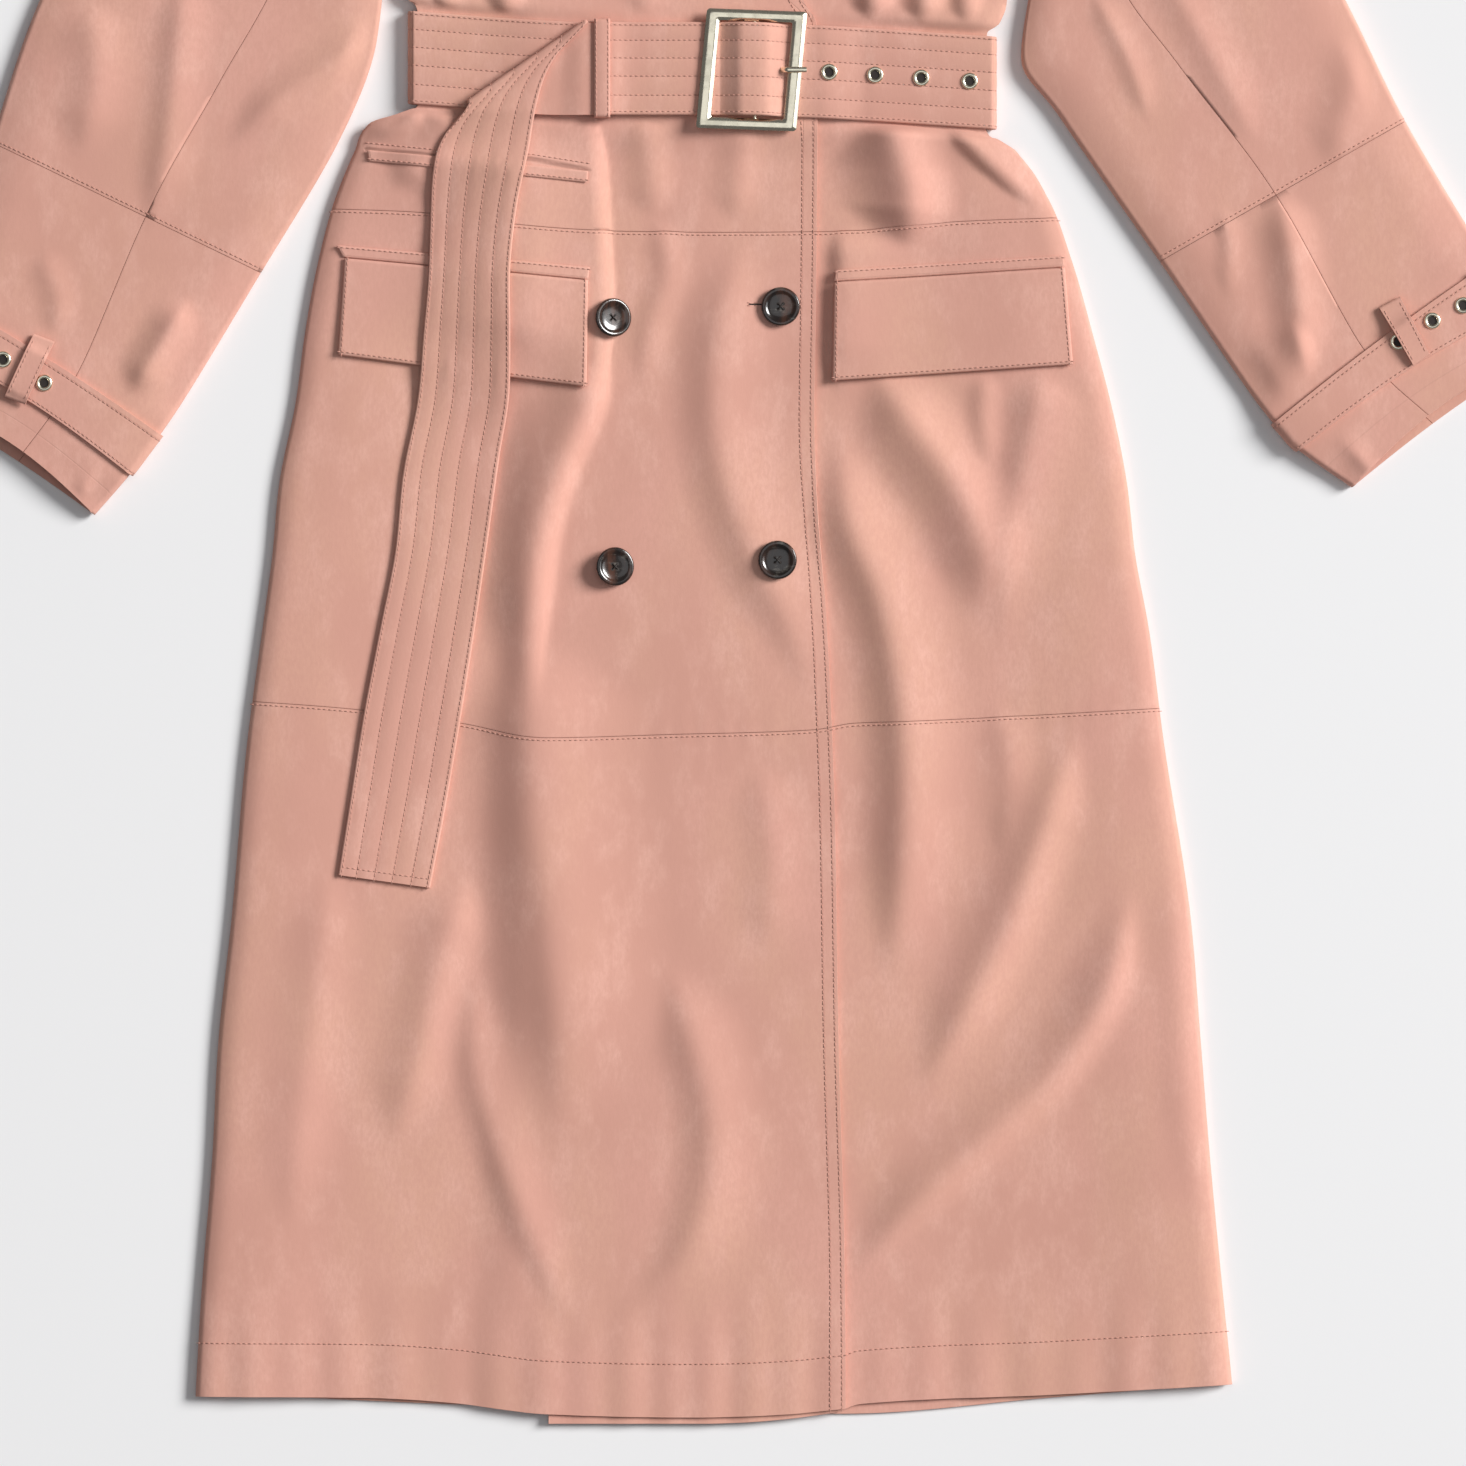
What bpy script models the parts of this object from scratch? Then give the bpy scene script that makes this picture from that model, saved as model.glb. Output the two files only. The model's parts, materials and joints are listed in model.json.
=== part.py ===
"""Belted, double-breasted trench coat in soft faux suede, laid flat on its back.

The coat lies on the plane z = 0 with its hem towards -Y. Left and right in the names are the
wearer's: the wearer's right front closes over the left one and lies on the -X side.
All sizes in this file are millimetres, measured from the middle of the belt; to_world() turns
them into metres with the origin under the middle of the whole coat.
"""

from collections import namedtuple
from math import cos, hypot, pi, radians, sin

import bmesh
import bpy
import numpy as np
from mathutils import Vector
from mathutils.bvhtree import BVHTree

for old in list(bpy.data.objects):
    bpy.data.objects.remove(old, do_unlink=True)

# ---------------------------------------------------------------- driving dimensions (mm)
CLOTH = 2.0              # wall of every garment panel
GAP = 0.3                # air between two pieces that touch
SEAM = GAP / 2           # each panel stops this far from its seam line
STACK = CLOTH + GAP      # one panel lying on another

BELT_WIDTH = 57.5
BELT_THICK = 2.2
BELT_LIFT = BELT_THICK + GAP   # how far the back is lifted by the belt that runs under it
BELT_CLEAR = 31.0        # half width of the flat strip of coat that the belt presses down
BELT_RAMP = 27.0         # how far the lift takes to fade out above and below the belt
EYELET_HOLE = 3.2        # radius of the hole punched for an eyelet
EYELET_OUTER = 5.35
EYELET_SIDES = 8

BUTTON_RADIUS = 12.0
BUTTON_THICK = 3.6
STRAP_THICK = 1.8
STRAP_LIFT = STRAP_THICK + GAP
EDGE_RADIUS = 3.8        # half the height of a sleeve at its folded edges

# Where the middle of the belt lies once the coat is centred on the origin.
WAIST_X = -14.0
WAIST_Y = 211.0

# ---------------------------------------------------------------- outline and seams (mm)
Side = namedtuple("Side", "y x")
LEFT_SIDE = [    # x of the -X side
    Side(51, -187), Side(45, -184), Side(39.5, -175.5), Side(-23.5, -175.5), Side(-29, -196),
    Side(-35, -206), Side(-43, -210), Side(-56, -216), Side(-81, -226), Side(-118, -236),
    Side(-167, -245), Side(-205, -250), Side(-254, -260), Side(-304, -265), Side(-341, -270),
    Side(-415, -280), Side(-527, -290), Side(-601, -298), Side(-676, -302), Side(-750, -308),
    Side(-840, -313),
]
RIGHT_SIDE = [   # x of the +X side
    Side(43, 193), Side(34, 188), Side(27, 184), Side(22.5, 178), Side(-40.5, 178),
    Side(-47, 191), Side(-56, 200), Side(-81, 216), Side(-118, 230), Side(-167, 244),
    Side(-205, 254), Side(-254, 264), Side(-304, 270), Side(-341, 277), Side(-415, 287),
    Side(-527, 304), Side(-601, 310), Side(-676, 316), Side(-750, 323), Side(-840, 332),
]
Edge = namedtuple("Edge", "y x")
RIGHT_EDGE = [  # free edge of the wearer's right front, which lies on top
    Edge(33, 72), Edge(-31, 73), Edge(-143, 72), Edge(-216, 71), Edge(-304, 76),
    Edge(-387, 81), Edge(-437, 83), Edge(-600, 86), Edge(-763, 90), Edge(-840, 90),
]
LEFT_EDGE = [   # hidden edge of the wearer's left front
    Edge(33, -81), Edge(-200, -82), Edge(-500, -88), Edge(-840, -94),
]
Run = namedtuple("Run", "x y")
BELT_LINE = [Run(-190, 8), Run(-57, 0), Run(0, 0), Run(65, -1.5), Run(190, -9)]
HIP_SEAM = [
    Run(-250, -86), Run(-169, -89), Run(-109, -97), Run(-61, -100), Run(14, -101),
    Run(98, -100), Run(120, -97), Run(250, -91),
]
KNEE_SEAM = [
    Run(-300, -390), Run(-208, -397), Run(-148, -405), Run(-95, -414), Run(-20, -412),
    Run(71, -409), Run(95, -405), Run(124, -404), Run(300, -395),
]
RIGHT_HEM = [
    Run(-320, -822), Run(-205, -823), Run(-155, -826), Run(-94, -833), Run(-6, -835),
    Run(55, -833), Run(95, -829),
]
LEFT_HEM = [Run(-100, -839), Run(0, -839), Run(84, -832), Run(98, -827), Run(219, -821), Run(340, -814)]
BACK_HEM = [Run(-320, -820), Run(0, -832), Run(90, -833), Run(217, -823), Run(340, -813)]

# Rows of the bodice above the belt: y, its front edge or roll line, for each front.
Roll = namedtuple("Roll", "y right_edge left_edge")
ROLL_LINES = [
    Roll(43, 63, -73), Roll(75, 50, -57), Roll(115, 34, -39), Roll(160, 17, -20),
    Roll(212, -3, 3), Roll(265, -24, 27), Roll(315, -43, 49), Roll(372, -65, 71),
]
NECK_DIP = 20.0          # how far the back of the neck lies below the neck points

# ---------------------------------------------------------------- sleeves (mm)
Station = namedtuple("Station", "outer_x outer_y inner_x inner_y front_seam front_bow back_bow")
ELBOW, STRAP_TOP, STRAP_END, CUFF = 5, 6, 7, 8    # rows of the two tables below
RIGHT_SLEEVE = [
    Station(-211, 335, -196, 115, 0.62, 31, 31),
    Station(-262, 276, -199, 92, 0.62, 12, 12),
    Station(-312, 210, -196, 62, 0.62, 0, 0),
    Station(-363, 130, -200, 19, 0.63, 0, 0),
    Station(-409, 43, -223, -43, 0.60, 0, 0),
    Station(-439, -45, -272, -126, 0.575, 0, 0),
    Station(-467, -141, -334, -226, 0.60, 2, 0),
    Station(-481, -170, -353, -251, 0.60, 5, 2),
    Station(-497, -199, -375, -276, 0.60, 10, 3),
]
LEFT_SLEEVE = [
    Station(217, 335, 202, 115, 0.62, 31, 31),
    Station(262, 276, 207, 92, 0.62, 12, 12),
    Station(306, 210, 206, 62, 0.62, 0, 0),
    Station(353, 130, 199, 9, 0.61, 0, 0),
    Station(400, 43, 224, -31, 0.58, 0, 0),
    Station(437, -32, 285, -119, 0.53, 0, 0),
    Station(489, -119, 355, -219, 0.57, 2, 0),
    Station(508, -147, 371, -236, 0.57, 5, 2),
    Station(525, -172, 404, -259, 0.57, 9, 3),
]

# ---------------------------------------------------------------- folds of the cloth (mm)
# Each fold is a ridge whose crest runs through three points from the top down.
# west and east are how far it falls away on the -X and the +X side of its crest.
Fold = namedtuple("Fold", "name x1 y1 x2 y2 x3 y3 height west east")
FRONT_FOLDS = [
    Fold("pleat beside the pocket", -68, -33, -63, -130, -66, -215, 8, 34, 11),
    Fold("pleat running out", -66, -190, -80, -280, -108, -385, 7, 36, 15),
    Fold("middle wave", 28, -112, 9, -223, 66, -366, 4, 22, 42),
    Fold("gather under the buckle", -38, -34, -42, -80, -48, -120, 4, 20, 20),
    Fold("gather beside the edge", 56, -34, 48, -80, 46, -120, 3, 20, 20),
    Fold("hip puff, west", -150, -34, -168, -58, -192, -84, 6, 24, 22),
    Fold("pleat under the belt", 117, -34, 131, -66, 133, -96, 9, 9, 34),
    Fold("hip puff, east", 158, -38, 190, -72, 210, -104, 5, 20, 18),
    Fold("flap puff", 98, -110, 96, -155, 106, -205, 6, 17, 60),
    Fold("below the flap", 110, -195, 150, -248, 174, -325, 5, 18, 38),
    Fold("long wave", 90, -217, 130, -340, 124, -560, 4, 20, 26),
    Fold("side wave", 180, -205, 178, -300, 171, -390, 4, 28, 38),
    Fold("knee wave, east", 239, -400, 190, -520, 143, -625, 6, 28, 34),
    Fold("short wave", 143, -446, 140, -496, 133, -552, 3, 18, 20),
    Fold("low wave, east", 254, -555, 205, -645, 102, -728, 6, 24, 26),
    Fold("knee wave, middle", -98, -440, -84, -546, -70, -675, 5, 20, 30),
    Fold("low S, upper", -12, -520, 12, -570, 17, -642, 6, 25, 32),
    Fold("low S, lower", 17, -630, 8, -700, -28, -765, 6, 26, 28),
    Fold("low wave, west", -138, -545, -150, -630, -90, -760, 5, 20, 26),
    Fold("shin wave", -148, -545, -185, -620, -214, -665, 4, 24, 26),
    Fold("bodice gather, west", -122, 33, -118, 62, -112, 100, 6, 17, 15),
    Fold("bodice gather, right", 104, 30, 112, 62, 116, 104, 7, 14, 17),
    Fold("bodice gather, middle", 137, 28, 141, 62, 140, 104, 6, 14, 15),
    Fold("bodice gather, east", 166, 27, 164, 60, 158, 104, 5, 14, 12),
]
SLEEVE_FOLDS = [
    Fold("right arm, seam", -262, 60, -300, -20, -336, -76, 3, 26, 26),
    Fold("right arm, bend", -214, 8, -236, -16, -262, -28, 4, 14, 16),
    Fold("right arm, wrist", -322, -146, -342, -176, -366, -204, 3, 14, 14),
    Fold("right arm, head", -262, 235, -282, 160, -288, 90, 4, 24, 26),
    Fold("left arm, seam", 284, 60, 330, -20, 356, -72, 4, 22, 26),
    Fold("left arm, wrist", 350, -92, 357, -128, 362, -160, 3, 14, 16),
    Fold("left arm, cuff", 372, -190, 392, -206, 402, -226, 2, 12, 12),
    Fold("left arm, head", 268, 235, 286, 160, 292, 90, 4, 24, 26),
]
FOLD_FADE_IN, FOLD_FADE_OUT = 0.22, 0.30   # shares of a fold's length

# ---------------------------------------------------------------- finishes
Finish = namedtuple("Finish", "name colour metallic roughness")
SUEDE = Finish("pink faux suede", (0.66, 0.38, 0.30), 0.0, 0.85)
SUEDE_BELT = Finish("pink faux suede, belt", (0.64, 0.37, 0.30), 0.0, 0.8)
HORN = Finish("dark horn", (0.035, 0.022, 0.016), 0.0, 0.3)
PALE_GOLD = Finish("pale gold metal", (0.72, 0.66, 0.52), 1.0, 0.28)

solids = {}   # name -> (points in mm, triangles), for laying the next piece on top


# ---------------------------------------------------------------- small tools
def smooth_table(keys, values):
    """A smooth function through a table's rows; outside the table it stays at the end value."""
    order = np.argsort(keys)
    keys = np.asarray(keys, float)[order]
    values = np.asarray(values, float)[order]
    steps = np.diff(values) / np.diff(keys)
    slopes = np.gradient(values, keys)
    for i in range(1, len(keys) - 1):
        if steps[i - 1] * steps[i] <= 0:
            slopes[i] = 0.0
        else:
            limit = 2 * min(abs(steps[i - 1]), abs(steps[i]))
            slopes[i] = max(-limit, min(limit, slopes[i]))

    def at(where):
        where = np.clip(where, keys[0], keys[-1])
        i = np.clip(np.searchsorted(keys, where, side="right") - 1, 0, len(keys) - 2)
        step = keys[i + 1] - keys[i]
        u = (where - keys[i]) / step
        return (values[i] * (1 + 2 * u) * (1 - u) ** 2 + values[i + 1] * u * u * (3 - 2 * u)
                + step * (slopes[i] * u * (1 - u) ** 2 + slopes[i + 1] * u * u * (u - 1)))

    return at


def ease(share):
    """Smooth step from 0 to 1."""
    share = np.clip(share, 0.0, 1.0)
    return share * share * (3 - 2 * share)


def bump(distance, reach):
    """Smooth hump of height 1 that ends at reach."""
    share = np.clip(np.abs(distance) / reach, 0.0, 1.0)
    return (1 - share * share) ** 2


belt_line = smooth_table([r.x for r in BELT_LINE], [r.y for r in BELT_LINE])
hip_seam = smooth_table([r.x for r in HIP_SEAM], [r.y for r in HIP_SEAM])
knee_seam = smooth_table([r.x for r in KNEE_SEAM], [r.y for r in KNEE_SEAM])
right_hem = smooth_table([r.x for r in RIGHT_HEM], [r.y for r in RIGHT_HEM])
left_hem = smooth_table([r.x for r in LEFT_HEM], [r.y for r in LEFT_HEM])
back_hem = smooth_table([r.x for r in BACK_HEM], [r.y for r in BACK_HEM])
side_left = smooth_table([s.y for s in LEFT_SIDE], [s.x for s in LEFT_SIDE])
side_right = smooth_table([s.y for s in RIGHT_SIDE], [s.x for s in RIGHT_SIDE])
right_roll = smooth_table([r.y for r in ROLL_LINES] + [e.y for e in RIGHT_EDGE],
                          [r.right_edge for r in ROLL_LINES] + [e.x for e in RIGHT_EDGE])
left_roll = smooth_table([r.y for r in ROLL_LINES] + [e.y for e in LEFT_EDGE],
                         [r.left_edge for r in ROLL_LINES] + [e.x for e in LEFT_EDGE])


def sleeve_table(stations):
    """One smooth function for each column of a sleeve's table."""
    rows = range(len(stations))
    return {field: smooth_table(rows, [getattr(s, field) for s in stations])
            for field in Station._fields}


ARM_GAP = 0.8            # how far the body stops short of the sleeves, which lie folded beside it
ARM_SHARES = [0.0, 0.16, 0.36, 0.59, 0.82, 1.0]   # corners of the armhole line, from the shoulder


def bowed(outer, inner, bow, share):
    """Point at a share of the way from outer to inner, bowed up the sleeve by bow."""
    along = np.array(inner, float) - np.array(outer, float)
    width = hypot(*along)
    up = np.array([-along[1], along[0]]) / width * (1 if outer[0] < 0 else -1)
    rise = bow * np.interp(share, ARM_SHARES, np.sin(pi * np.array(ARM_SHARES)))
    return np.array(outer, float) + along * share + up * rise, along / width, width


def armhole(stations, share):
    """Point of the armhole line, from the shoulder (0) to under the arm (1)."""
    first = stations[0]
    spot, along, _ = bowed((first.outer_x, first.outer_y), (first.inner_x, first.inner_y),
                           first.front_bow, share)
    inwards = 1 if first.outer_x < 0 else -1
    return float(spot[0] - inwards * along[1] * ARM_GAP), float(spot[1] + inwards * along[0] * ARM_GAP)


# ---------------------------------------------------------------- height of the cloth
def crest_points(fold, count=18):
    """Points along a fold's crest, from its top to its end."""
    t = np.linspace(0, 1, count)
    middle_x = 2 * fold.x2 - (fold.x1 + fold.x3) / 2
    middle_y = 2 * fold.y2 - (fold.y1 + fold.y3) / 2
    x = (1 - t) ** 2 * fold.x1 + 2 * t * (1 - t) * middle_x + t * t * fold.x3
    y = (1 - t) ** 2 * fold.y1 + 2 * t * (1 - t) * middle_y + t * t * fold.y3
    return t, x, y


def fold_height(folds, x, y):
    """Height that the folds add at x, y."""
    total = np.zeros(np.broadcast(x, y).shape)
    for fold in folds:
        t, cx, cy = crest_points(fold)
        best = np.full(total.shape, 1e9)
        place = np.zeros(total.shape)
        side = np.zeros(total.shape)
        for i in range(len(t) - 1):
            dx, dy = cx[i + 1] - cx[i], cy[i + 1] - cy[i]
            along = np.clip(((x - cx[i]) * dx + (y - cy[i]) * dy) / (dx * dx + dy * dy), 0, 1)
            off_x, off_y = x - cx[i] - along * dx, y - cy[i] - along * dy
            distance = np.hypot(off_x, off_y)
            nearer = distance < best
            best = np.where(nearer, distance, best)
            place = np.where(nearer, t[i] + along * (t[i + 1] - t[i]), place)
            side = np.where(nearer, dx * off_y - dy * off_x, side)
        reach = np.where(side > 0, fold.east, fold.west)
        ends = ease(place / FOLD_FADE_IN) * ease((1 - place) / FOLD_FADE_OUT)
        total += fold.height * bump(best, reach) * ends
    return total


SIDE_ROLL = smooth_table([0, 5, 12, 28, 50, 62], [0.0, 1.9, 3.0, 1.6, 0.2, 0.0])


def belt_lift(x, y):
    """How far the belt under the back lifts everything above it."""
    away = np.abs(y - belt_line(x))
    return BELT_LIFT * (1 - ease((away - BELT_CLEAR) / BELT_RAMP))


def front_base(x, y):
    """Height of the under side of whatever front cloth lies directly over the back."""
    away = np.abs(y - belt_line(x))
    pressed = ease((away - BELT_CLEAR) / 14)
    left_side = np.minimum(x - side_left(y), 62)
    right_side = np.minimum(side_right(y) - x, 62)
    inside = ease(np.minimum(left_side, right_side) / 24)
    roll = np.where(y < 60, SIDE_ROLL(left_side) + SIDE_ROLL(right_side), 0.0)
    folds = fold_height(FRONT_FOLDS, x, y) * inside
    return CLOTH + GAP + belt_lift(x, y) + (roll + folds) * pressed


def surface(x, y, above):
    """Points of the front cloth at x, y, moved out from its base by above."""
    step = 0.5
    z = front_base(x, y)
    slope_x = (front_base(x + step, y) - front_base(x - step, y)) / (2 * step)
    slope_y = (front_base(x, y + step) - front_base(x, y - step)) / (2 * step)
    length = np.sqrt(1 + slope_x ** 2 + slope_y ** 2)
    return np.stack([x - slope_x / length * above, y - slope_y / length * above,
                     z + above / length], axis=-1)


def right_layer(x, y):
    """How far the right front lies above the base: one panel up where the left front is under it."""
    return STACK * ease((x - left_roll(y) + 50) / 32)


# ---------------------------------------------------------------- building solids
def to_world(points):
    """Millimetres from the belt's middle to metres from the origin."""
    points = np.array(points, float)
    points[..., 0] += WAIST_X
    points[..., 1] += WAIST_Y
    return points * 0.001


def material(finish):
    """Principled material for a finish."""
    made = bpy.data.materials.new(finish.name)
    made.use_nodes = True
    shader = made.node_tree.nodes["Principled BSDF"]
    shader.inputs["Base Color"].default_value = (*finish.colour, 1.0)
    shader.inputs["Metallic"].default_value = finish.metallic
    shader.inputs["Roughness"].default_value = finish.roughness
    return made


def add_solid(name, points, triangles, finish, rounded=True):
    """Make one object from points in mm and triangles; its faces are turned outwards."""
    mesh = bpy.data.meshes.new(name)
    mesh.from_pydata([tuple(p) for p in to_world(points)], [], [tuple(t) for t in triangles])
    shape = bmesh.new()
    shape.from_mesh(mesh)
    bmesh.ops.recalc_face_normals(shape, faces=shape.faces)
    if shape.calc_volume(signed=True) < 0:
        bmesh.ops.reverse_faces(shape, faces=shape.faces)
    shape.to_mesh(mesh)
    shape.free()
    if rounded:
        mesh.shade_smooth()
        mesh.set_sharp_from_angle(angle=radians(40))
    mesh.materials.append(material(finish))
    made = bpy.data.objects.new(name, mesh)
    bpy.context.scene.collection.objects.link(made)
    solids[name] = (np.array(points, float), np.array(triangles, int))
    return made


def shell(name, top, bottom, finish=SUEDE, ring=False):
    """Closed wall between two grids of points with the same rows and columns.

    With ring the last column joins the first, as on a band round a wrist.
    """
    rows, cols = top.shape[:2]
    points = np.concatenate([top.reshape(-1, 3), bottom.reshape(-1, 3)])
    under = rows * cols
    triangles = []

    def quad(a, b, c, d):
        triangles.append((a, b, c))
        triangles.append((a, c, d))

    def at(r, c):
        return r * cols + c % cols

    for r in range(rows - 1):
        for c in range(cols if ring else cols - 1):
            a, b, d, e = at(r, c), at(r, c + 1), at(r + 1, c + 1), at(r + 1, c)
            quad(a, b, d, e)
            triangles.append((under + a, under + d, under + b))
            triangles.append((under + a, under + e, under + d))
    for c in range(cols if ring else cols - 1):
        first, last = rows - 1, 0
        quad(at(first, c), at(first, c + 1), under + at(first, c + 1), under + at(first, c))
        quad(at(last, c + 1), at(last, c), under + at(last, c), under + at(last, c + 1))
    if not ring:
        for r in range(rows - 1):
            quad(at(r, 0), at(r + 1, 0), under + at(r + 1, 0), under + at(r, 0))
            quad(at(r + 1, cols - 1), at(r, cols - 1), under + at(r, cols - 1), under + at(r + 1, cols - 1))
    return add_solid(name, points, triangles, finish)


def turned(name, profile, centre, finish, sides, normal=(0, 0, 1)):
    """Solid turned from a closed profile of (radius, height); radius 0 ends close on the axis."""
    axis = Vector(normal).normalized()
    turn = Vector((0, 0, 1)).rotation_difference(axis).to_matrix()
    points, ids = [], []
    for radius, height in profile:
        if radius == 0:
            ids.append([len(points)] * sides)
            points.append(np.array(centre) + np.array(turn @ Vector((0, 0, height))))
            continue
        ids.append(list(range(len(points), len(points) + sides)))
        for k in range(sides):
            angle = 2 * pi * k / sides
            spot = turn @ Vector((radius * cos(angle), radius * sin(angle), height))
            points.append(np.array(centre) + np.array(spot))
    triangles = []
    count = len(profile)
    closed = profile[0][0] != 0
    for i in range(count if closed else count - 1):
        here, there = ids[i], ids[(i + 1) % count]
        for k in range(sides):
            n = (k + 1) % sides
            if here[k] != here[n]:
                triangles.append((here[k], here[n], there[n]))
            if there[k] != there[n]:
                triangles.append((here[k], there[n], there[k]))
    return add_solid(name, points, triangles, finish)


def tree_of(names):
    """Search tree over the solids with these names."""
    points, triangles, start = [], [], 0
    for name in names:
        own_points, own_triangles = solids[name]
        points.extend(map(tuple, own_points))
        triangles.extend(map(tuple, own_triangles + start))
        start += len(own_points)
    return BVHTree.FromPolygons(points, triangles), np.array(points), np.array(triangles)


def lay_on(grid, names, gap=GAP, rounds=4):
    """Raise a grid's points until its facets clear the solids below by gap.

    Both ways are tested: points spread over the grid's facets against the solids, and the
    solids' own corners against the facets.
    """
    below, points, triangles = tree_of(names)
    share = np.linspace(0, 1, 6)[:, None]
    corners = np.concatenate([points[a] * (1 - s) + points[b] * s
                              for a, b in (triangles[:, [0, 1]].T, triangles[:, [1, 2]].T, triangles[:, [2, 0]].T)
                              for s in share])
    rows, cols = grid.shape[:2]
    flat = grid.reshape(-1, 3).copy()
    facets = []
    for r in range(rows - 1):
        for c in range(cols - 1):
            a = r * cols + c
            facets.append((a, a + 1, a + cols + 1))
            facets.append((a, a + cols + 1, a + cols))
    spread = [(i / 6, j / 6, 1 - (i + j) / 6) for i in range(7) for j in range(7 - i)]
    down, up = Vector((0, 0, -1)), Vector((0, 0, 1))
    low, high = flat[:, :2].min(axis=0), flat[:, :2].max(axis=0)
    near = corners[np.all((corners[:, :2] >= low) & (corners[:, :2] <= high), axis=1)]
    for _ in range(rounds):
        rise = np.zeros(len(flat))
        for facet in facets:
            spots = np.array(spread) @ flat[list(facet)]
            need = 0.0
            for x, y, z in spots:
                hit = below.ray_cast(Vector((x, y, 500.0)), down)[0]
                if hit is not None:
                    need = max(need, hit.z + gap - z)
            for corner in facet:
                rise[corner] = max(rise[corner], need)
        own = BVHTree.FromPolygons([tuple(p) for p in flat], facets)
        for x, y, z in near:
            hit, _, index, _ = own.ray_cast(Vector((x, y, -100.0)), up)
            if hit is not None and z + gap > hit.z:
                for corner in facets[index]:
                    rise[corner] = max(rise[corner], z + gap - hit.z)
        if rise.max() < 1e-3:
            break
        flat[:, 2] += rise
    return flat.reshape(grid.shape)


def raised(grid, height):
    """The same grid, higher by height."""
    higher = grid.copy()
    higher[..., 2] += height
    return higher


def patch(corners, rows, cols):
    """Flat grid between four corners: top left, top right, bottom right, bottom left."""
    top_left, top_right, bottom_right, bottom_left = [np.array(c, float) for c in corners]
    grid = np.zeros((rows, cols, 3))
    for r in range(rows):
        v = r / (rows - 1)
        for c in range(cols):
            u = c / (cols - 1)
            grid[r, c, :2] = ((1 - v) * ((1 - u) * top_left + u * top_right)
                              + v * ((1 - u) * bottom_left + u * bottom_right))
    return grid


# ---------------------------------------------------------------- the body's grid
def skirt_columns():
    """Functions of y for the columns shared by both fronts, and where each front starts or ends."""
    columns = [lambda y, d=d: side_left(y) + d for d in (0, 5, 13, 30)]
    for share in (0.22, 0.42, 0.6, 0.78):
        columns.append(lambda y, s=share: side_left(y) + 30 + s * (left_roll(y) - side_left(y) - 30))
    columns.append(lambda y: left_roll(y) - 18)
    first_left = len(columns)
    columns.append(left_roll)
    for share in (0.13, 0.3, 0.45, 0.6, 0.75, 0.88):
        columns.append(lambda y, s=share: left_roll(y) + s * (right_roll(y) - left_roll(y)))
    last_right = len(columns)
    columns.append(right_roll)
    for share in (0.13, 0.26, 0.4, 0.55, 0.72, 0.88):
        columns.append(lambda y, s=share: right_roll(y) + s * (side_right(y) - 30 - right_roll(y)))
    columns += [lambda y, d=d: side_right(y) - d for d in (30, 13, 5, 0)]
    return columns, first_left, last_right


COLUMNS, FIRST_LEFT, LAST_RIGHT = skirt_columns()


def crossing(column, row):
    """Point where a column (x of y) meets a row (y of x)."""
    x, y = 0.0, 0.0
    for _ in range(8):
        y = float(row(x))
        x = float(column(y))
    return x, y


def row_between(upper, lower, share):
    """Row that lies a share of the way from one row to another."""
    return lambda x: upper(x) + (lower(x) - upper(x)) * share


def shifted(row, shift):
    """The same row, moved along y."""
    return lambda x: row(x) + shift


def tier_rows(upper, lower, count):
    """Rows of a tier, a seam's half gap inside both of its edges."""
    return [row_between(shifted(upper, -SEAM), lower, k / count) for k in range(count + 1)]


def lattice(columns, rows):
    """x and y where each row meets each column."""
    spots = np.array([[crossing(column, row) for column in columns] for row in rows])
    return spots[..., 0], spots[..., 1]


BELT_ROWS = [43, 31, 12, -10, -31, -43]      # rows that follow the belt, from its middle line
PUFF_ROWS = 3                                # rows between the belt and the hip seam


def belt_rows(offsets):
    """Rows that follow the belt at these offsets, then rows down to the hip seam."""
    rows = [shifted(belt_line, offset) for offset in offsets]
    hip = shifted(hip_seam, SEAM)
    return rows + [row_between(rows[-1], hip, (k + 1) / PUFF_ROWS) for k in range(PUFF_ROWS)]


def bodice_lattice(first, last, side_stations, share_edge, edge_x):
    """x and y of a front bodice: rows above the belt run from the side to the roll line."""
    columns = COLUMNS[first:last + 1]
    low_x, low_y = lattice(columns, belt_rows(BELT_ROWS))
    shares = (low_x[0] - low_x[0][0]) / (low_x[0][-1] - low_x[0][0])
    high_x, high_y = [], []
    for roll, share in zip(reversed(ROLL_LINES[1:]), share_edge):
        side_x, side_y = bodice_side(side_stations, roll.y, share)
        ends = ((side_x, side_y), (getattr(roll, edge_x), roll.y))
        if side_stations is LEFT_SLEEVE:
            ends = ends[::-1]
        high_x.append(ends[0][0] + (ends[1][0] - ends[0][0]) * shares)
        high_y.append(ends[0][1] + (ends[1][1] - ends[0][1]) * shares)
    return np.vstack([high_x, low_x]), np.vstack([high_y, low_y])


UNDER_ARM_CLEAR = 3.0     # room between the bodice's side and the sleeve lying beside it
BODICE_SHARES = ARM_SHARES + [None]    # place on the armhole of each bodice row, top down


def bodice_side(stations, y, share):
    """Point of the bodice's side: on the armhole, or below it on the side seam."""
    if share is None:
        side = side_left if stations is RIGHT_SLEEVE else side_right
        under_arm = stations[0].inner_x
        return 0.5 * (float(side(51)) + under_arm) - UNDER_ARM_CLEAR * np.sign(under_arm), 77
    return armhole(stations, share)


def fill_front(name, x, y, layer, below=()):
    """Front panel over the grid x, y, lying layer above the base and clear of the solids below."""
    top = surface(x, y, layer + CLOTH)
    bottom = surface(x, y, layer)
    if below:
        laid = lay_on(bottom, below)
        top, bottom = top + laid - bottom, laid
    return shell(name, top, bottom)


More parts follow.
